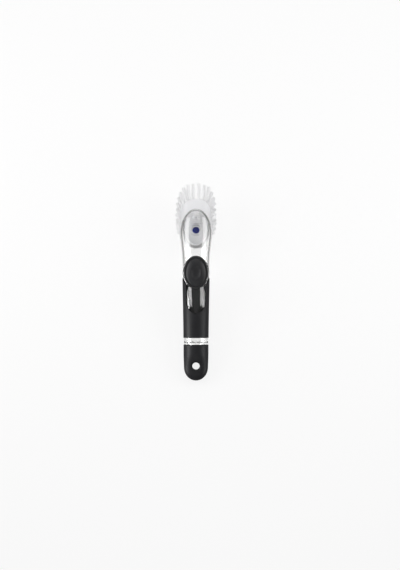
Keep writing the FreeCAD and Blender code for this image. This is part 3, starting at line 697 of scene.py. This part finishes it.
def sleeve_edge():
    """Angle, height and outward direction along the right half of the sleeve's upper edge: a piece of
    an oval, a straight side, a piece of the collar's oval and the level back, spaced evenly."""
    window_x = WINDOW_HALF_WIDTH - fillet(WINDOW_HALF_WIDTH, 90)[0]
    window_y = WINDOW_START + fillet(WINDOW_ROUND, 90)[1]
    end_x = CUT_HALF_WIDTH * math.sqrt(1 - ((BUTTON_PLACE - SLEEVE_END) / CUT_HALF_LENGTH) ** 2)
    collar_x = np.linspace(WINDOW_HALF_WIDTH, end_x, 60)
    collar_y = BUTTON_PLACE - CUT_HALF_LENGTH * np.sqrt(1 - (collar_x / CUT_HALF_WIDTH) ** 2)
    x = np.concatenate([window_x, collar_x])
    y = np.concatenate([window_y, collar_y])
    angle = np.arcsin(np.clip(x / (flowing(y, SECTION_HALF_WIDTH) + SLEEVE_MIDDLE), -1, 1))
    level_angle = np.linspace(angle[-1], math.pi, 60)[1:]
    arc = RING_RADIUS * np.concatenate([angle, level_angle])
    y = np.concatenate([y, np.full(len(level_angle), SLEEVE_END)])
    reach = path_length(arc, y)
    even = np.linspace(0, reach[-1], EDGE_DETAIL * SLEEVE_COLUMNS + 1)
    arc, y = np.interp(even, reach, arc), np.interp(even, reach, y)
    spread = max(1, round(CORNER_ROUND / even[1]))
    back = 2 * math.pi * RING_RADIUS
    long_arc = np.concatenate([-arc[spread:0:-1], arc, back - arc[-2:-spread - 2:-1]])
    long_y = np.concatenate([y[spread:0:-1], y, y[-2:-spread - 2:-1]])
    kernel = np.hanning(2 * spread + 3)[1:-1]
    kernel /= kernel.sum()
    arc = np.convolve(long_arc, kernel, "valid")
    y = np.convolve(long_y, kernel, "valid")
    slope = np.stack([np.gradient(arc), np.gradient(y)])
    slope /= np.hypot(*slope)
    keep = slice(0, None, EDGE_DETAIL)
    return arc[keep] / RING_RADIUS, y[keep], -slope[1][keep] / RING_RADIUS, slope[0][keep]


edge_angle, edge_y, out_angle, out_y = sleeve_edge()
print("sleeve's edge runs from", edge_y[0].round(1), "to", edge_y.max().round(1), "mm")

# %% The sleeve
def both_sides(half, mirrored):
    """The right half and its mirror image as one closed row; mirrored is -1 where the sign turns."""
    return np.concatenate([half, mirrored * half[-2:0:-1]])


def grip_sleeve():
    """The sheet as a loop of rows: up the outside, round the upper edge, down the inside and round
    the lower edge. Each edge is a half circle across the sheet's thickness."""
    radius = SLEEVE_WALL / 2
    foot = both_sides(np.linspace(0, math.pi, SLEEVE_COLUMNS + 1), -1)
    top = both_sides(edge_angle, -1)
    top_y = both_sides(edge_y, 1)
    lean = both_sides(out_angle, -1)
    rise = both_sides(out_y, 1)
    up = column(np.linspace(0, 1, 60))
    down = column(np.linspace(1, 0, 24))
    half_turn = column(np.linspace(math.pi / 2, -math.pi / 2, 9)[1:-1])
    inset = radius * (1 - np.cos(half_turn))

    def sheet(share, grow):
        angle = foot + (top - radius * lean - foot) * share
        y = SLEEVE_START + radius + (top_y - radius * rise - SLEEVE_START - radius) * share
        return handle_rings(angle, y, grow)

    swing = radius * np.sin(half_turn)
    return np.vstack([
        sheet(up, SLEEVE_MIDDLE + radius),
        handle_rings(top - inset * lean, top_y - inset * rise, SLEEVE_MIDDLE + swing),
        sheet(down, SLEEVE_MIDDLE - radius),
        handle_rings(foot + 0 * inset, SLEEVE_START + inset + 0 * foot, SLEEVE_MIDDLE - swing),
    ])


sleeve = solid("rubber_sleeve", *skin(grip_sleeve(), loop=True))
install(sleeve, grip_rubber, "wand", "black_grip", "grip_sleeve")

# %% [markdown]
# ## The screw cap
#
# The cap is round at its mouth and flattens into a rounded tongue with a hole to hang it by. It is a
# row of ovals. The hole has softly rolled mouths: the skin is first lowered towards it along a
# quarter circle, and then a plain shaft is cut through.

# %% Cap cover
CAP_LENGTH = 48.0
CAP_RADIUS = 16.7
CAP_END = 17.5
CAP_END_HALF_WIDTH = 16.0
TONGUE_HALF = 9.0
TONGUE_LENGTH = 14.0
TAPER_START = 11.2
TAPER_END = 38.0
CAP_SOCKET = 14.7
SOCKET_FLOOR = 32.55
CAP_EDGE = 0.7
HOLE_RADIUS = 5.0
HOLE_ROUND = 3.0


def cap_half_sizes(y):
    """Half the cap's width and thickness: each has the round end of an oval, and a gentle rise to
    the barrel, share * share * (3 - 2 * share)."""
    share = np.clip((y - TAPER_START) / (TAPER_END - TAPER_START), 0, 1)
    rise = share * share * (3 - 2 * share)
    return (
        half * np.sqrt(1 - np.clip(1 - y / end, 0, 1) ** 2) + (CAP_RADIUS - half) * rise
        for half, end in ((CAP_END_HALF_WIDTH, CAP_END), (TONGUE_HALF, TONGUE_LENGTH))
    )


def roll_mouths(x, y, z):
    """Lower the skin near the hole by r - sqrt(r * r - d * d), d being how far a point lies inside
    the ring where the mouth starts to roll in and r the radius of that roll."""
    inside = np.clip(HOLE_RADIUS + HOLE_ROUND - np.hypot(x, y - HANG_HOLE_PLACE), 0, HOLE_ROUND)
    return z - np.sign(z) * (HOLE_ROUND - np.sqrt(HOLE_ROUND**2 - inside**2))


def cap_rings():
    """Rings from the tongue's tip to the mouth, over its rounded rim and down the socket inside."""
    turn = around(240)
    end_y = fillet(CAP_END, 100)[1]
    barrel_y = np.linspace(CAP_END, CAP_LENGTH - CAP_EDGE, 70)[1:]
    y = column(np.concatenate([end_y, barrel_y]))
    half_width, half_height = cap_half_sizes(y)
    x, z = half_width * np.sin(turn), half_height * np.cos(turn)
    drop, inset = fillet(CAP_EDGE)
    rim_y = CAP_LENGTH - drop
    rim_radius = CAP_RADIUS - inset
    mouth_y = column([*rim_y, *rim_y[::-1], SOCKET_FLOOR, SOCKET_FLOOR])
    mouth = column([*rim_radius, *(CAP_RADIUS + CAP_SOCKET - rim_radius[::-1]), CAP_SOCKET, 0])
    return np.vstack([wand.at(x, y, roll_mouths(x, y, z)), round_rings(turn, mouth_y, mouth)])


def shaft(name, axes, y, radius, low, high, count=72):
    """A closed round shaft at y, along the Z of these axes."""
    reach = column([0, radius, radius, 0])
    z = column([low, low, high, high])
    return solid(name, *skin(axes.ovals(y, around(count), reach, reach, z)))


cap = solid("screw_cap", *skin(cap_rings()))
hole = shaft("hole", wand, HANG_HOLE_PLACE, HOLE_RADIUS, -CAP_RADIUS, CAP_RADIUS, 120)
carve(cap, ("DIFFERENCE", hole))
install(cap, grip_rubber, "end_cap", "black_grip", "cap_cover")

# %% [markdown]
# ## The pump: button, bezel and diaphragm
#
# The button is a shallow dome with a dimple for the thumb. Both are heights over the same oval, and
# the top is the lower of the two, softened where they meet. The bezel is a rounded bar carried round
# an oval. The rubber diaphragm is a cup with a flange, between the handle and the button.

# %% Thumb button
BUTTON_HALF_WIDTH = 13.3
BUTTON_HALF_LENGTH = 19.0
BUTTON_LOW = 15.2
BUTTON_EDGE = 0.9
BUTTON_LIP = 0.2
DOME_REACH = 1.15
DOME_HEIGHT = 6.32
DOME_TOP = 20.6
DOME_BASE = DOME_TOP - DOME_HEIGHT
DIMPLE_HALF_WIDTH = 7.6
DIMPLE_HALF_LENGTH = 10.2
DIMPLE_TOP = 21.44
DIMPLE_HEIGHT = 2.94
DIMPLE_SOFTNESS = 0.28


def button_top(across, along):
    """Height of the top: the lower of a dome and a dimple, -k * log(exp(-a / k) + exp(-b / k))."""
    out = (across / BUTTON_HALF_WIDTH) ** 2 + (along / BUTTON_HALF_LENGTH) ** 2
    dome = DOME_BASE + DOME_HEIGHT * np.sqrt(1 - out / DOME_REACH**2)
    away = (across / DIMPLE_HALF_WIDTH) ** 2 + (along / DIMPLE_HALF_LENGTH) ** 2
    dimple = DIMPLE_TOP - DIMPLE_HEIGHT * np.sqrt(np.clip(1 - away, 0, 1))
    return -DIMPLE_SOFTNESS * np.logaddexp(-dome / DIMPLE_SOFTNESS, -dimple / DIMPLE_SOFTNESS)


def button_rings():
    """The top from its middle outwards, over the rounded rim, down the side and under."""
    turn = around(160)
    share = column(np.linspace(0, 1, 70))
    inset, drop = (column(part[1:]) for part in fillet(BUTTON_EDGE, 8))
    across, along = (
        np.vstack([(half - BUTTON_EDGE) * share, half - inset]) * wave
        for half, wave in ((BUTTON_HALF_WIDTH, np.sin(turn)), (BUTTON_HALF_LENGTH, np.cos(turn)))
    )
    top = button_top(across, along) - np.vstack([0 * share, drop])
    width, length = (
        column([half, half - BUTTON_LIP, 0]) for half in (BUTTON_HALF_WIDTH, BUTTON_HALF_LENGTH)
    )
    low = column([BUTTON_LOW + BUTTON_LIP, BUTTON_LOW, BUTTON_LOW])
    return np.vstack([
        wand.at(across, BUTTON_PLACE + along, top),
        wand.ovals(BUTTON_PLACE, turn, width, length, low),
    ])


button = solid("thumb_pad", *skin(button_rings()))
install(button, button_rubber, "button", "black_button", "thumb_button")

# %% Bezel and diaphragm
BEZEL_HOLE_WIDTH = 13.6
BEZEL_HOLE_LENGTH = 19.3
CORNER_POINTS = 7
FLANGE_WALL = 2.7
FLANGE_TOP = 15.2
CUP_WIDTH = 14.6
CUP_LENGTH = 20.3
CUP_WALL = 0.9
CUP_FLOOR = 8.4
CUP_BEND = 1.4


def bar_ring(name, axes, middle, hole, wall, low, high, edges, count):
    """A bar carried round a hole, which is given by its half width and half length. The four edges
    are the radii of its corners, from the outer upper one over the top to the outer lower one."""
    corner = np.repeat(np.arange(4), CORNER_POINTS)
    edge = np.array(edges)[corner]
    angle = (corner + np.tile(np.linspace(0, 1, CORNER_POINTS), 4)) * math.pi / 2
    out = np.where((corner == 0) | (corner == 3), wall - edge, edge) + edge * np.cos(angle)
    up = np.where(corner < 2, high - edge, low + edge) + edge * np.sin(angle)
    width, length = (half + column(out) for half in hole)
    return solid(name, *skin(axes.ovals(middle, around(count), width, length, column(up)), loop=True))


def diaphragm_tower():
    """From the middle of the underside out and up the cup's wall, round the flange, and back down
    inside. inset is how far a ring lies inside the cup's outer oval."""
    inward, upward = fillet(CUP_BEND, 7)
    wall_up = np.linspace(CUP_FLOOR + CUP_BEND, COLLAR_TOP, 12)[1:]
    wall_down = np.linspace(FLANGE_TOP, CUP_FLOOR + CUP_WALL + CUP_BEND, 12)
    flange_out = CUP_WIDTH - BEZEL_HOLE_WIDTH - FLANGE_WALL
    inset = np.concatenate([
        inward, 0 * wall_up, [flange_out, flange_out], CUP_WALL + 0 * wall_down, CUP_WALL + upward
    ])
    height = np.concatenate([
        CUP_FLOOR + upward, wall_up, [COLLAR_TOP, FLANGE_TOP], wall_down, CUP_FLOOR + CUP_WALL + inward
    ])
    return oval_tower("pump_cup", CUP_WIDTH, CUP_LENGTH, inset, height)


bezel = bar_ring(
    "bezel_ring", wand, BUTTON_PLACE, hole=(BEZEL_HOLE_WIDTH, BEZEL_HOLE_LENGTH),
    wall=2.9, low=15.2, high=17.0, edges=(1.4, 0.4, 0.2, 0.2), count=160,
)
install(bezel, black_plastic, "wand", "black_plastic", "button_bezel")
diaphragm = diaphragm_tower()
tuple(wand.at(0, BUTTON_PLACE, COLLAR_TOP))
tuple(wand.at(0, BUTTON_PLACE, CUP_FLOOR + CUP_WALL))
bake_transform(diaphragm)
install(diaphragm, black_rubber, None, "black_rubber", "pump_diaphragm")

# %% [markdown]
# ## The outlet valve and its ring
#
# Under the clear crown sits a small blue rubber valve, held down by a milky ring. Both are sections
# carried round the brush's Z axis. A thin cut across the valve's lip is the slit that lets soap out.

# %% Valve and retainer
VALVE_TOP = 15.9
VALVE_LOW = 14.3
VALVE_TIP = VALVE_LOW - 9.0
VALVE_NECK = VALVE_LOW - 3.15
VALVE_FLANGE = 5.6
VALVE_STEM = 2.9
VALVE_LIP = 1.1
VALVE_DISH = 0.55
VALVE_EDGE = 0.35
VALVE_CORNER = 0.2


def valve_rings():
    """Dished top, rounded flange, stem and tapering lip."""
    dish = np.linspace(0, 1, 12)
    inset, drop = (part[1:] for part in fillet(VALVE_EDGE))
    radius = column([
        *((VALVE_FLANGE - VALVE_EDGE) * dish), *(VALVE_FLANGE - inset), VALVE_FLANGE,
        VALVE_FLANGE - VALVE_CORNER, VALVE_STEM, VALVE_STEM, VALVE_LIP, VALVE_LIP - VALVE_CORNER, 0,
    ])
    z = column([
        *(VALVE_TOP - VALVE_DISH * (1 - dish**2) ** 2), *(VALVE_TOP - drop), VALVE_LOW + VALVE_CORNER,
        VALVE_LOW, VALVE_LOW, VALVE_NECK, VALVE_TIP + VALVE_CORNER, VALVE_TIP, VALVE_TIP,
    ])
    return brush.ovals(0, around(72), radius, radius, z)


valve = solid("blue_valve", *skin(valve_rings()))
slit = pad(
    "slit", brush.at,
    half_width=2.8, half_length=0.15, low=VALVE_TIP - OVERCUT, high=VALVE_TIP + 2.9, edge=0.01,
)
carve(valve, ("DIFFERENCE", slit))
install(valve, valve_rubber, "wand", "blue_rubber", "outlet_valve")
retainer = bar_ring(
    "valve_ring", brush, 0, hole=(4.8, 4.8),
    wall=1.7, low=15.95, high=17.35, edges=(0.4, 0.4, 0.2, 0.2), count=96,
)
install(retainer, milky_plastic, "wand", "retainer_plastic", "valve_retainer")

# %% [markdown]
# ## Where the tufts stand
#
# Bristles are pushed into drilled holes as tufts, each folded over a staple. The holes lie on four
# ovals, a step apart, and the tufts lean outwards, most of all at the front. The base is squarer than
# an ellipse, so its ovals are superellipses, written by angle.

# %% Feet and directions of the tufts
BASE_HEIGHT = np.array([0.0, 2.42, 7.04, 10.7])
BASE_HALF_LENGTH = np.array([33.45, 34.15, 31.483, 27.8])
BASE_HALF_WIDTH = np.array([20.2, 20.9, 20.515, 19.8])
BASE_MIDDLE = np.array([5.45, 5.45, 2.725, 0.0])
BASE_SQUARENESS = np.array([3.0, 3.0, 2.58, 2.0])
TUFT_MARGIN = 3.1
TUFT_STEP = 4.8
TUFT_PITCH = 5.4
TUFT_CLEAR = 8.59
FRONT_SPLAY = math.radians(33.0)
REAR_SPLAY = math.radians(10.0)
SIDE_SPLAY = math.radians(16.2)
TUFT_RINGS = ("outer_tufts", "middle_tufts", "inner_tufts", "centre_tufts")


def squared_oval(turn, half_width, half_length, squareness):
    """Across and along at each angle: the reach is (|sin / a|**n + |cos / b|**n)**(-1 / n), which is
    an ellipse where the squareness n is 2."""
    across, along = np.sin(turn), np.cos(turn)
    stretch = np.abs(across / half_width) ** squareness + np.abs(along / half_length) ** squareness
    reach = stretch ** (-1 / squareness)
    return reach * across, reach * along


def tuft_ring(number):
    """Feet, directions and two cross directions for one ring. Feet stand at equal steps along an
    oval; the lean grows with the distance from the middle."""
    inset = TUFT_MARGIN + TUFT_STEP * number
    half_width, half_length = BASE_HALF_WIDTH.max() - inset, BASE_HALF_LENGTH.max() - inset
    angle = np.linspace(0, 2 * math.pi, 721)
    x, y = squared_oval(angle, half_width, half_length, BASE_SQUARENESS[0])
    reach = path_length(x, y)
    count = round(reach[-1] / TUFT_PITCH)
    target = reach[-1] * (np.arange(count) + 0.5) / count
    nearest = np.abs(reach[:-1, None] - target).argmin(axis=0)
    x, y = x[nearest], y[nearest]
    clear = np.hypot(x, y + BASE_MIDDLE[0]) >= TUFT_CLEAR
    x, y = x[clear], y[clear]
    along = np.where(y > 0, FRONT_SPLAY, REAR_SPLAY) * y / (BASE_HALF_LENGTH.max() - TUFT_MARGIN)
    aside = SIDE_SPLAY * x / (BASE_HALF_WIDTH.max() - TUFT_MARGIN)
    direction = unit(np.stack([np.tan(aside), np.tan(along), -np.ones_like(x)], axis=-1))
    side = unit(np.cross(direction, [0.0, 1.0, 0.0]))
    foot = np.stack([x, y + BASE_MIDDLE[0], 0 * x], axis=-1)
    return foot, direction, side, np.cross(direction, side)


tuft_rings = [tuft_ring(number) for number in range(len(TUFT_RINGS))]
print("tufts in each ring:", [len(ring[0]) for ring in tuft_rings])

# %% [markdown]
# ## The brush's base
#
# The white base is a flared oval block: wide at the bristles, narrower where it meets the clear head,
# and hollowed on top. A round socket takes the spigot of the head, and two prongs snap into a pocket
# in it. The tuft holes are one set of closed shafts that are drilled in a single cut.

# %% Brush base
BASE_TOP = BASE_HEIGHT[-1]
BASE_EDGE = 0.6
POCKET_EDGE = 0.3
POCKET_HALF_WIDTH = 15.3
POCKET_HALF_LENGTH = 23.3
POCKET_FLOOR = 7.7
SOCKET_WALL = 7.04
SOCKET_FOOT = 1.0
SPIGOT_SOCKET = 6.24
SPIGOT_FLOOR = 3.25
NOZZLE = 3.6
TUFT_HOLE = 1.55
TUFT_HOLE_DEPTH = 5.5
PRONG_PLACE = 13.3
PRONG_TOP = 13.95
PRONG_OFFSET = 3.25


def base_side(turn, z, inset=0.0):
    """Ovals of the base's side: half sizes, squareness and middle flow through four sections."""
    half_width, half_length, squareness, middle = (
        flowing(z, values, BASE_HEIGHT, 1.0)
        for values in (BASE_HALF_WIDTH, BASE_HALF_LENGTH, BASE_SQUARENESS, BASE_MIDDLE)
    )
    across, along = squared_oval(turn, half_width - inset, half_length - inset, squareness)
    return brush.at(across, middle + along, z)


def base_rings():
    """From the middle of the underside out, up the flared side, over the rim and into the pocket."""
    turn = around(160)
    inset, rise = (column(part) for part in fillet(BASE_EDGE))
    side = column(np.linspace(BASE_EDGE, BASE_TOP - BASE_EDGE, 30)[1:-1])
    step = column([-POCKET_EDGE, 0, 0, POCKET_EDGE])
    pocket_z = column([BASE_TOP, BASE_TOP - POCKET_EDGE, POCKET_FLOOR + POCKET_EDGE, POCKET_FLOOR])
    pocket = squared_oval(turn, POCKET_HALF_WIDTH - step, POCKET_HALF_LENGTH - step, 2)
    return np.vstack([
        brush.at(0 * turn, BASE_MIDDLE[0], 0),
        base_side(turn, rise, inset),
        base_side(turn, side),
        base_side(turn, BASE_TOP - inset, rise),
        brush.at(*pocket, pocket_z),
        brush.at(0 * turn, 0, POCKET_FLOOR),
    ])


def tuft_shafts():
    """Closed shafts along the tufts: foot + level * direction + radius * (cos * side + sin * other)."""
    foot, direction, side, other = (
        np.concatenate(part)[:, None, None, :] for part in zip(*tuft_rings)
    )
    turn = around(18)[..., None]
    level = column([-TUFT_HOLE_DEPTH, -TUFT_HOLE_DEPTH, OVERCUT, OVERCUT])[..., None]
    radius = column([0, TUFT_HOLE, TUFT_HOLE, 0])[..., None]
    points = foot + level * direction + radius * (np.cos(turn) * side + np.sin(turn) * other)
    return brush.at(*np.moveaxis(points, -1, 0))


base = solid("brush_block", *skin(base_rings()))
prongs = [
    pad(
        f"{side}_prong", shifted(brush, sign * PRONG_OFFSET, PRONG_PLACE),
        half_width=1.75, half_length=2.5, low=POCKET_FLOOR - 0.5, high=PRONG_TOP, edge=0.35,
    )
    for side, sign in SIDES.items()
]
carve(
    base,
    ("UNION", shaft("socket_wall", brush, 0, SOCKET_WALL, SOCKET_FOOT, BASE_TOP)),
    *(("UNION", prong) for prong in prongs),
    ("DIFFERENCE", shaft("socket", brush, 0, SPIGOT_SOCKET, SPIGOT_FLOOR, BASE_TOP + 2 * OVERCUT)),
    ("DIFFERENCE", shaft("nozzle", brush, 0, NOZZLE, -2 * OVERCUT, SPIGOT_FLOOR + OVERCUT)),
    ("DIFFERENCE", solid("tuft_holes", *skins(tuft_shafts()))),
)
install(base, white_plastic, "brush_head", "white_plastic", "brush_base")

# %% [markdown]
# ## Bristles
#
# A solid cone would read as a peg, so each tuft is grown as filaments. Their roots are packed like
# the seeds of a sunflower, which fills a circle evenly. Towards the tips they spread and bend by
# chance, from a fixed seed, and no two are quite as long. Tips stay just above the floor.

# %% Filaments
FILAMENTS = 130
FILAMENT_RADIUS = 0.21
FILAMENT_SIDES = 5
FILAMENT_SINK = 3.0
FILAMENT_BEND = 0.35
FILAMENT_UNEVEN = 0.015
TUFT_LENGTH = 29.0
TUFT_ROOT = 1.3
TUFT_TIP = 2.1
TUFT_FLARE = 1.5
TUFT_UNEVEN = 0.02
TUFT_CROWN = 0.03
GOLDEN_ANGLE = math.pi * (3 - math.sqrt(5))
FLOOR_MARGIN = 0.0003
chance = np.random.default_rng(7)


def filaments(foot, direction, side, other):
    """Points of every filament of a ring of tufts, with how far along they lie and their own tint.
    A line is foot + reach * direction + (root * spread + bend * along**2) across the tuft."""
    tufts = len(foot)
    foot, direction, side, other = (
        part[:, None, None, None, :] for part in (foot, direction, side, other)
    )
    seed = np.arange(FILAMENTS)
    out = np.sqrt((seed + 0.5) / FILAMENTS)[:, None, None]
    spin = (GOLDEN_ANGLE * seed)[:, None, None] + chance.uniform(0, 2 * math.pi, (tufts, 1, 1, 1))
    along = column([0, 0, 0.4, 0.7, 1, 1])
    thick = FILAMENT_RADIUS * column([0, 1, 1, 1, 0.8, 0])
    spread = (TUFT_ROOT + (TUFT_TIP - TUFT_ROOT) * along**TUFT_FLARE) * out
    bend = chance.normal(0, FILAMENT_BEND, (2, tufts, FILAMENTS, 1, 1)) * along**2
    uneven = chance.normal(0, TUFT_UNEVEN, (tufts, 1, 1, 1))
    uneven = uneven + chance.normal(0, FILAMENT_UNEVEN, (tufts, FILAMENTS, 1, 1))
    length = TUFT_LENGTH * (1 + uneven - TUFT_CROWN * out**2)
    corner = around(FILAMENT_SIDES)
    reach = (FILAMENT_SINK + length) * along - FILAMENT_SINK
    across = spread * np.cos(spin) + bend[0] + thick * np.cos(corner)
    aside = spread * np.sin(spin) + bend[1] + thick * np.sin(corner)
    points = foot + reach[..., None] * direction + across[..., None] * side + aside[..., None] * other
    own = np.broadcast_to(chance.uniform(0, 1, (tufts, FILAMENTS, 1, 1)), across.shape)
    grid = (tufts * FILAMENTS,) + across.shape[2:]
    points = brush.at(*np.moveaxis(points, -1, 0)).reshape(grid + (3,))
    points[..., 2] = np.maximum(points[..., 2], FLOOR_MARGIN)
    return points, np.broadcast_to(along, across.shape).reshape(grid), own.reshape(grid)


for node, ring in zip(TUFT_RINGS, tuft_rings):
    points, along, own_tint = filaments(*ring)
    tuft = solid(node.replace("tufts", "bristles"), *skins(points), along=along, own_tint=own_tint)
    install(tuft, bristle_nylon, "brush_head", "bristle", node)

# %% [markdown]
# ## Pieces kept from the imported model
#
# The plate under the head, the plunger, the cap's core, the two seals and the staples have the right
# shape already. They only need their finishes.

# %% Finishes of the kept pieces
kept_finishes = {
    "head_underplate": clear_plate,
    "button_plunger": black_plastic,
    "cap_core": black_plastic,
    "cap_gasket": seal_rubber,
    "spigot_oring": seal_rubber,
    "tuft_staples": staple_wire,
}
for node, material in kept_finishes.items():
    for material_slot in frame["nodes"][node].material_slots:
        material_slot.material = material
print("kept pieces:", ", ".join(kept_finishes))

# %% [markdown]
# ## Floor, light and camera
#
# The wand lies on a pale table. Most of the floor's white glows, for the camera and for what is seen
# in or through a surface, and the rest is lit, so that the shadow stays. Soft boxes low along the
# handle and higher beside the head draw the long highlights, the left ones stronger. The low pair
# would burn out the white brush, so it lights only the pieces of the handle. Two weaker boxes fill in
# from the front and from behind. The dim horizon of the sky draws the edges of the clear handle.

# %% Floor
GLOW_SHARE = 0.86
REFLECTED_GLOW = 0.15
BRIGHT_STRIP = 0.03
STRIP_EDGE = 0.06
FLOOR_REACH = 6.0


def floor_finish():
    """Pale paper that keeps a shadow. Its glow is white for the camera, white through a clear piece
    in a strip under the wand, and dim to the sides of that strip and in reflections."""
    finish = Finish("white_table")
    camera, glossy, through = (
        finish.node("ShaderNodeLightPath", output=f"Is {kind} Ray")
        for kind in ("Camera", "Glossy", "Transmission")
    )
    aside = finish.node("ShaderNodeSeparateXYZ", {0: finish.place}, "X")
    aside = finish.node("ShaderNodeMath", {0: aside}, operation="ABSOLUTE")
    fade = {"From Min": BRIGHT_STRIP, "From Max": STRIP_EDGE, "To Min": 1.0, "To Max": 0.0}
    strip = finish.node("ShaderNodeMapRange", {"Value": aside, **fade})
    light = finish.tint(camera | through * strip, grey(REFLECTED_GLOW), grey(1.0))
    paper = finish.node("ShaderNodeBsdfDiffuse", {"Color": grey(0.9)})
    glow = finish.node("ShaderNodeEmission", {"Color": light})
    share = (camera | glossy | through) * GLOW_SHARE
    both = finish.node("ShaderNodeMixShader", {0: share, 1: paper, 2: glow})
    finish.node("ShaderNodeOutputMaterial", {"Surface": both})
    return finish.material


corners = FLOOR_REACH * np.array([[-1, -1, 0], [1, -1, 0], [1, 1, 0], [-1, 1, 0]])
table = solid("table", corners, np.array([[0, 1, 2, 3]]))
table.data.materials.append(floor_finish())
print("table", 2 * FLOOR_REACH, "m wide")

# %% Light
HORIZON = 0.1
ZENITH = 0.2
HORIZON_TOP = 0.1
ZENITH_START = 0.7
LAMP_DISTANCE = 0.8
LIGHT_BOUNCES = 24


def sky():
    """Dim at the horizon and brighter overhead; plain white where the camera sees it."""
    finish = Finish("studio", bpy.data.worlds.new("studio"))
    level = finish.node("ShaderNodeSeparateXYZ", {0: finish.place}, "Z")
    rise = {"Value": level, "From Min": HORIZON_TOP, "From Max": ZENITH_START}
    height = finish.node("ShaderNodeMapRange", rise)
    camera = finish.node("ShaderNodeLightPath", output="Is Camera Ray")
    light = finish.tint(camera, finish.tint(height, grey(HORIZON), grey(ZENITH)), grey(1.0))
    glow = finish.node("ShaderNodeBackground", {"Color": light})
    finish.node("ShaderNodeOutputWorld", {"Surface": glow})
    return finish.material


def stand(name, data, *axes_and_place):
    """Puts up a lamp or a camera: where its X, its Y and its back point to, and its place."""
    thing = bpy.data.objects.new(name, data)
    rows = np.vstack([np.stack(axes_and_place, axis=1), [0, 0, 0, 1]])
    thing.matrix_world = Matrix(rows.tolist())
    scene.collection.objects.link(thing)
    return thing


def softbox(name, towards, place, angle, width, length, radiance, only=None):
    """A lamp that faces a place along the wand, this many degrees from overhead towards a side. A
    group of pieces given as only is all that it lights, as if the rest were flagged off."""
    lamp = bpy.data.lights.new(name, "AREA")
    lamp.shape = "RECTANGLE"
    lamp.size, lamp.size_y = width, length
    lamp.energy = radiance * math.pi * width * length
    angle = math.radians(angle)
    away = math.sin(angle) * towards + math.cos(angle) * wand.up
    level = np.cross(wand.up, towards)
    place = wand.at(0, place, 0) + LAMP_DISTANCE * away
    box = stand(name, lamp, np.cross(level, away), level, away, place)
    box.light_linking.receiver_collection = only


scene.world = sky()
handle_group = bpy.data.collections.new("handle_group")
for piece in (bottle, sleeve, cap, button, bezel, diaphragm):
    handle_group.objects.link(piece)
head_box = {"place": 380, "angle": 55, "width": 0.45, "length": 0.45}
handle_box = {"place": -110, "angle": 74, "width": 0.3, "length": 0.52, "only": handle_group}
softbox("left_head_softbox", -ACROSS, radiance=5.6, **head_box)
softbox("right_head_softbox", ACROSS, radiance=4.9, **head_box)
softbox("left_handle_softbox", -ACROSS, radiance=13.0, **handle_box)
softbox("right_handle_softbox", ACROSS, radiance=6.0, **handle_box)
softbox("front_softbox", wand.forward, place=230, angle=50, width=0.5, length=0.5, radiance=2.2)
softbox("rear_softbox", -wand.forward, place=200, angle=42, width=0.4, length=0.5, radiance=0.7)
scene.view_settings.view_transform = "Standard"
cycles = scene.cycles
cycles.max_bounces = LIGHT_BOUNCES
cycles.diffuse_bounces = LIGHT_BOUNCES
cycles.transmission_bounces = LIGHT_BOUNCES
cycles.blur_glossy = 0.0
print("lamps:", [lamp.name for lamp in bpy.data.lights])

# %% Camera
CAMERA_DISTANCE = 2.4
CAMERA_ASIDE = 5.35
CAMERA_PLACE = 127.8
VIEW_HEIGHT = 0.7627
lens = bpy.data.cameras.new("camera")
lens.sensor_fit = "VERTICAL"
lens.angle_y = 2 * math.atan(VIEW_HEIGHT / 2 / CAMERA_DISTANCE)
eye = wand.at(CAMERA_ASIDE, CAMERA_PLACE, 0) + CAMERA_DISTANCE * wand.up
scene.camera = stand("camera", lens, ACROSS, wand.forward, wand.up, eye)
print("camera at", eye.round(3))
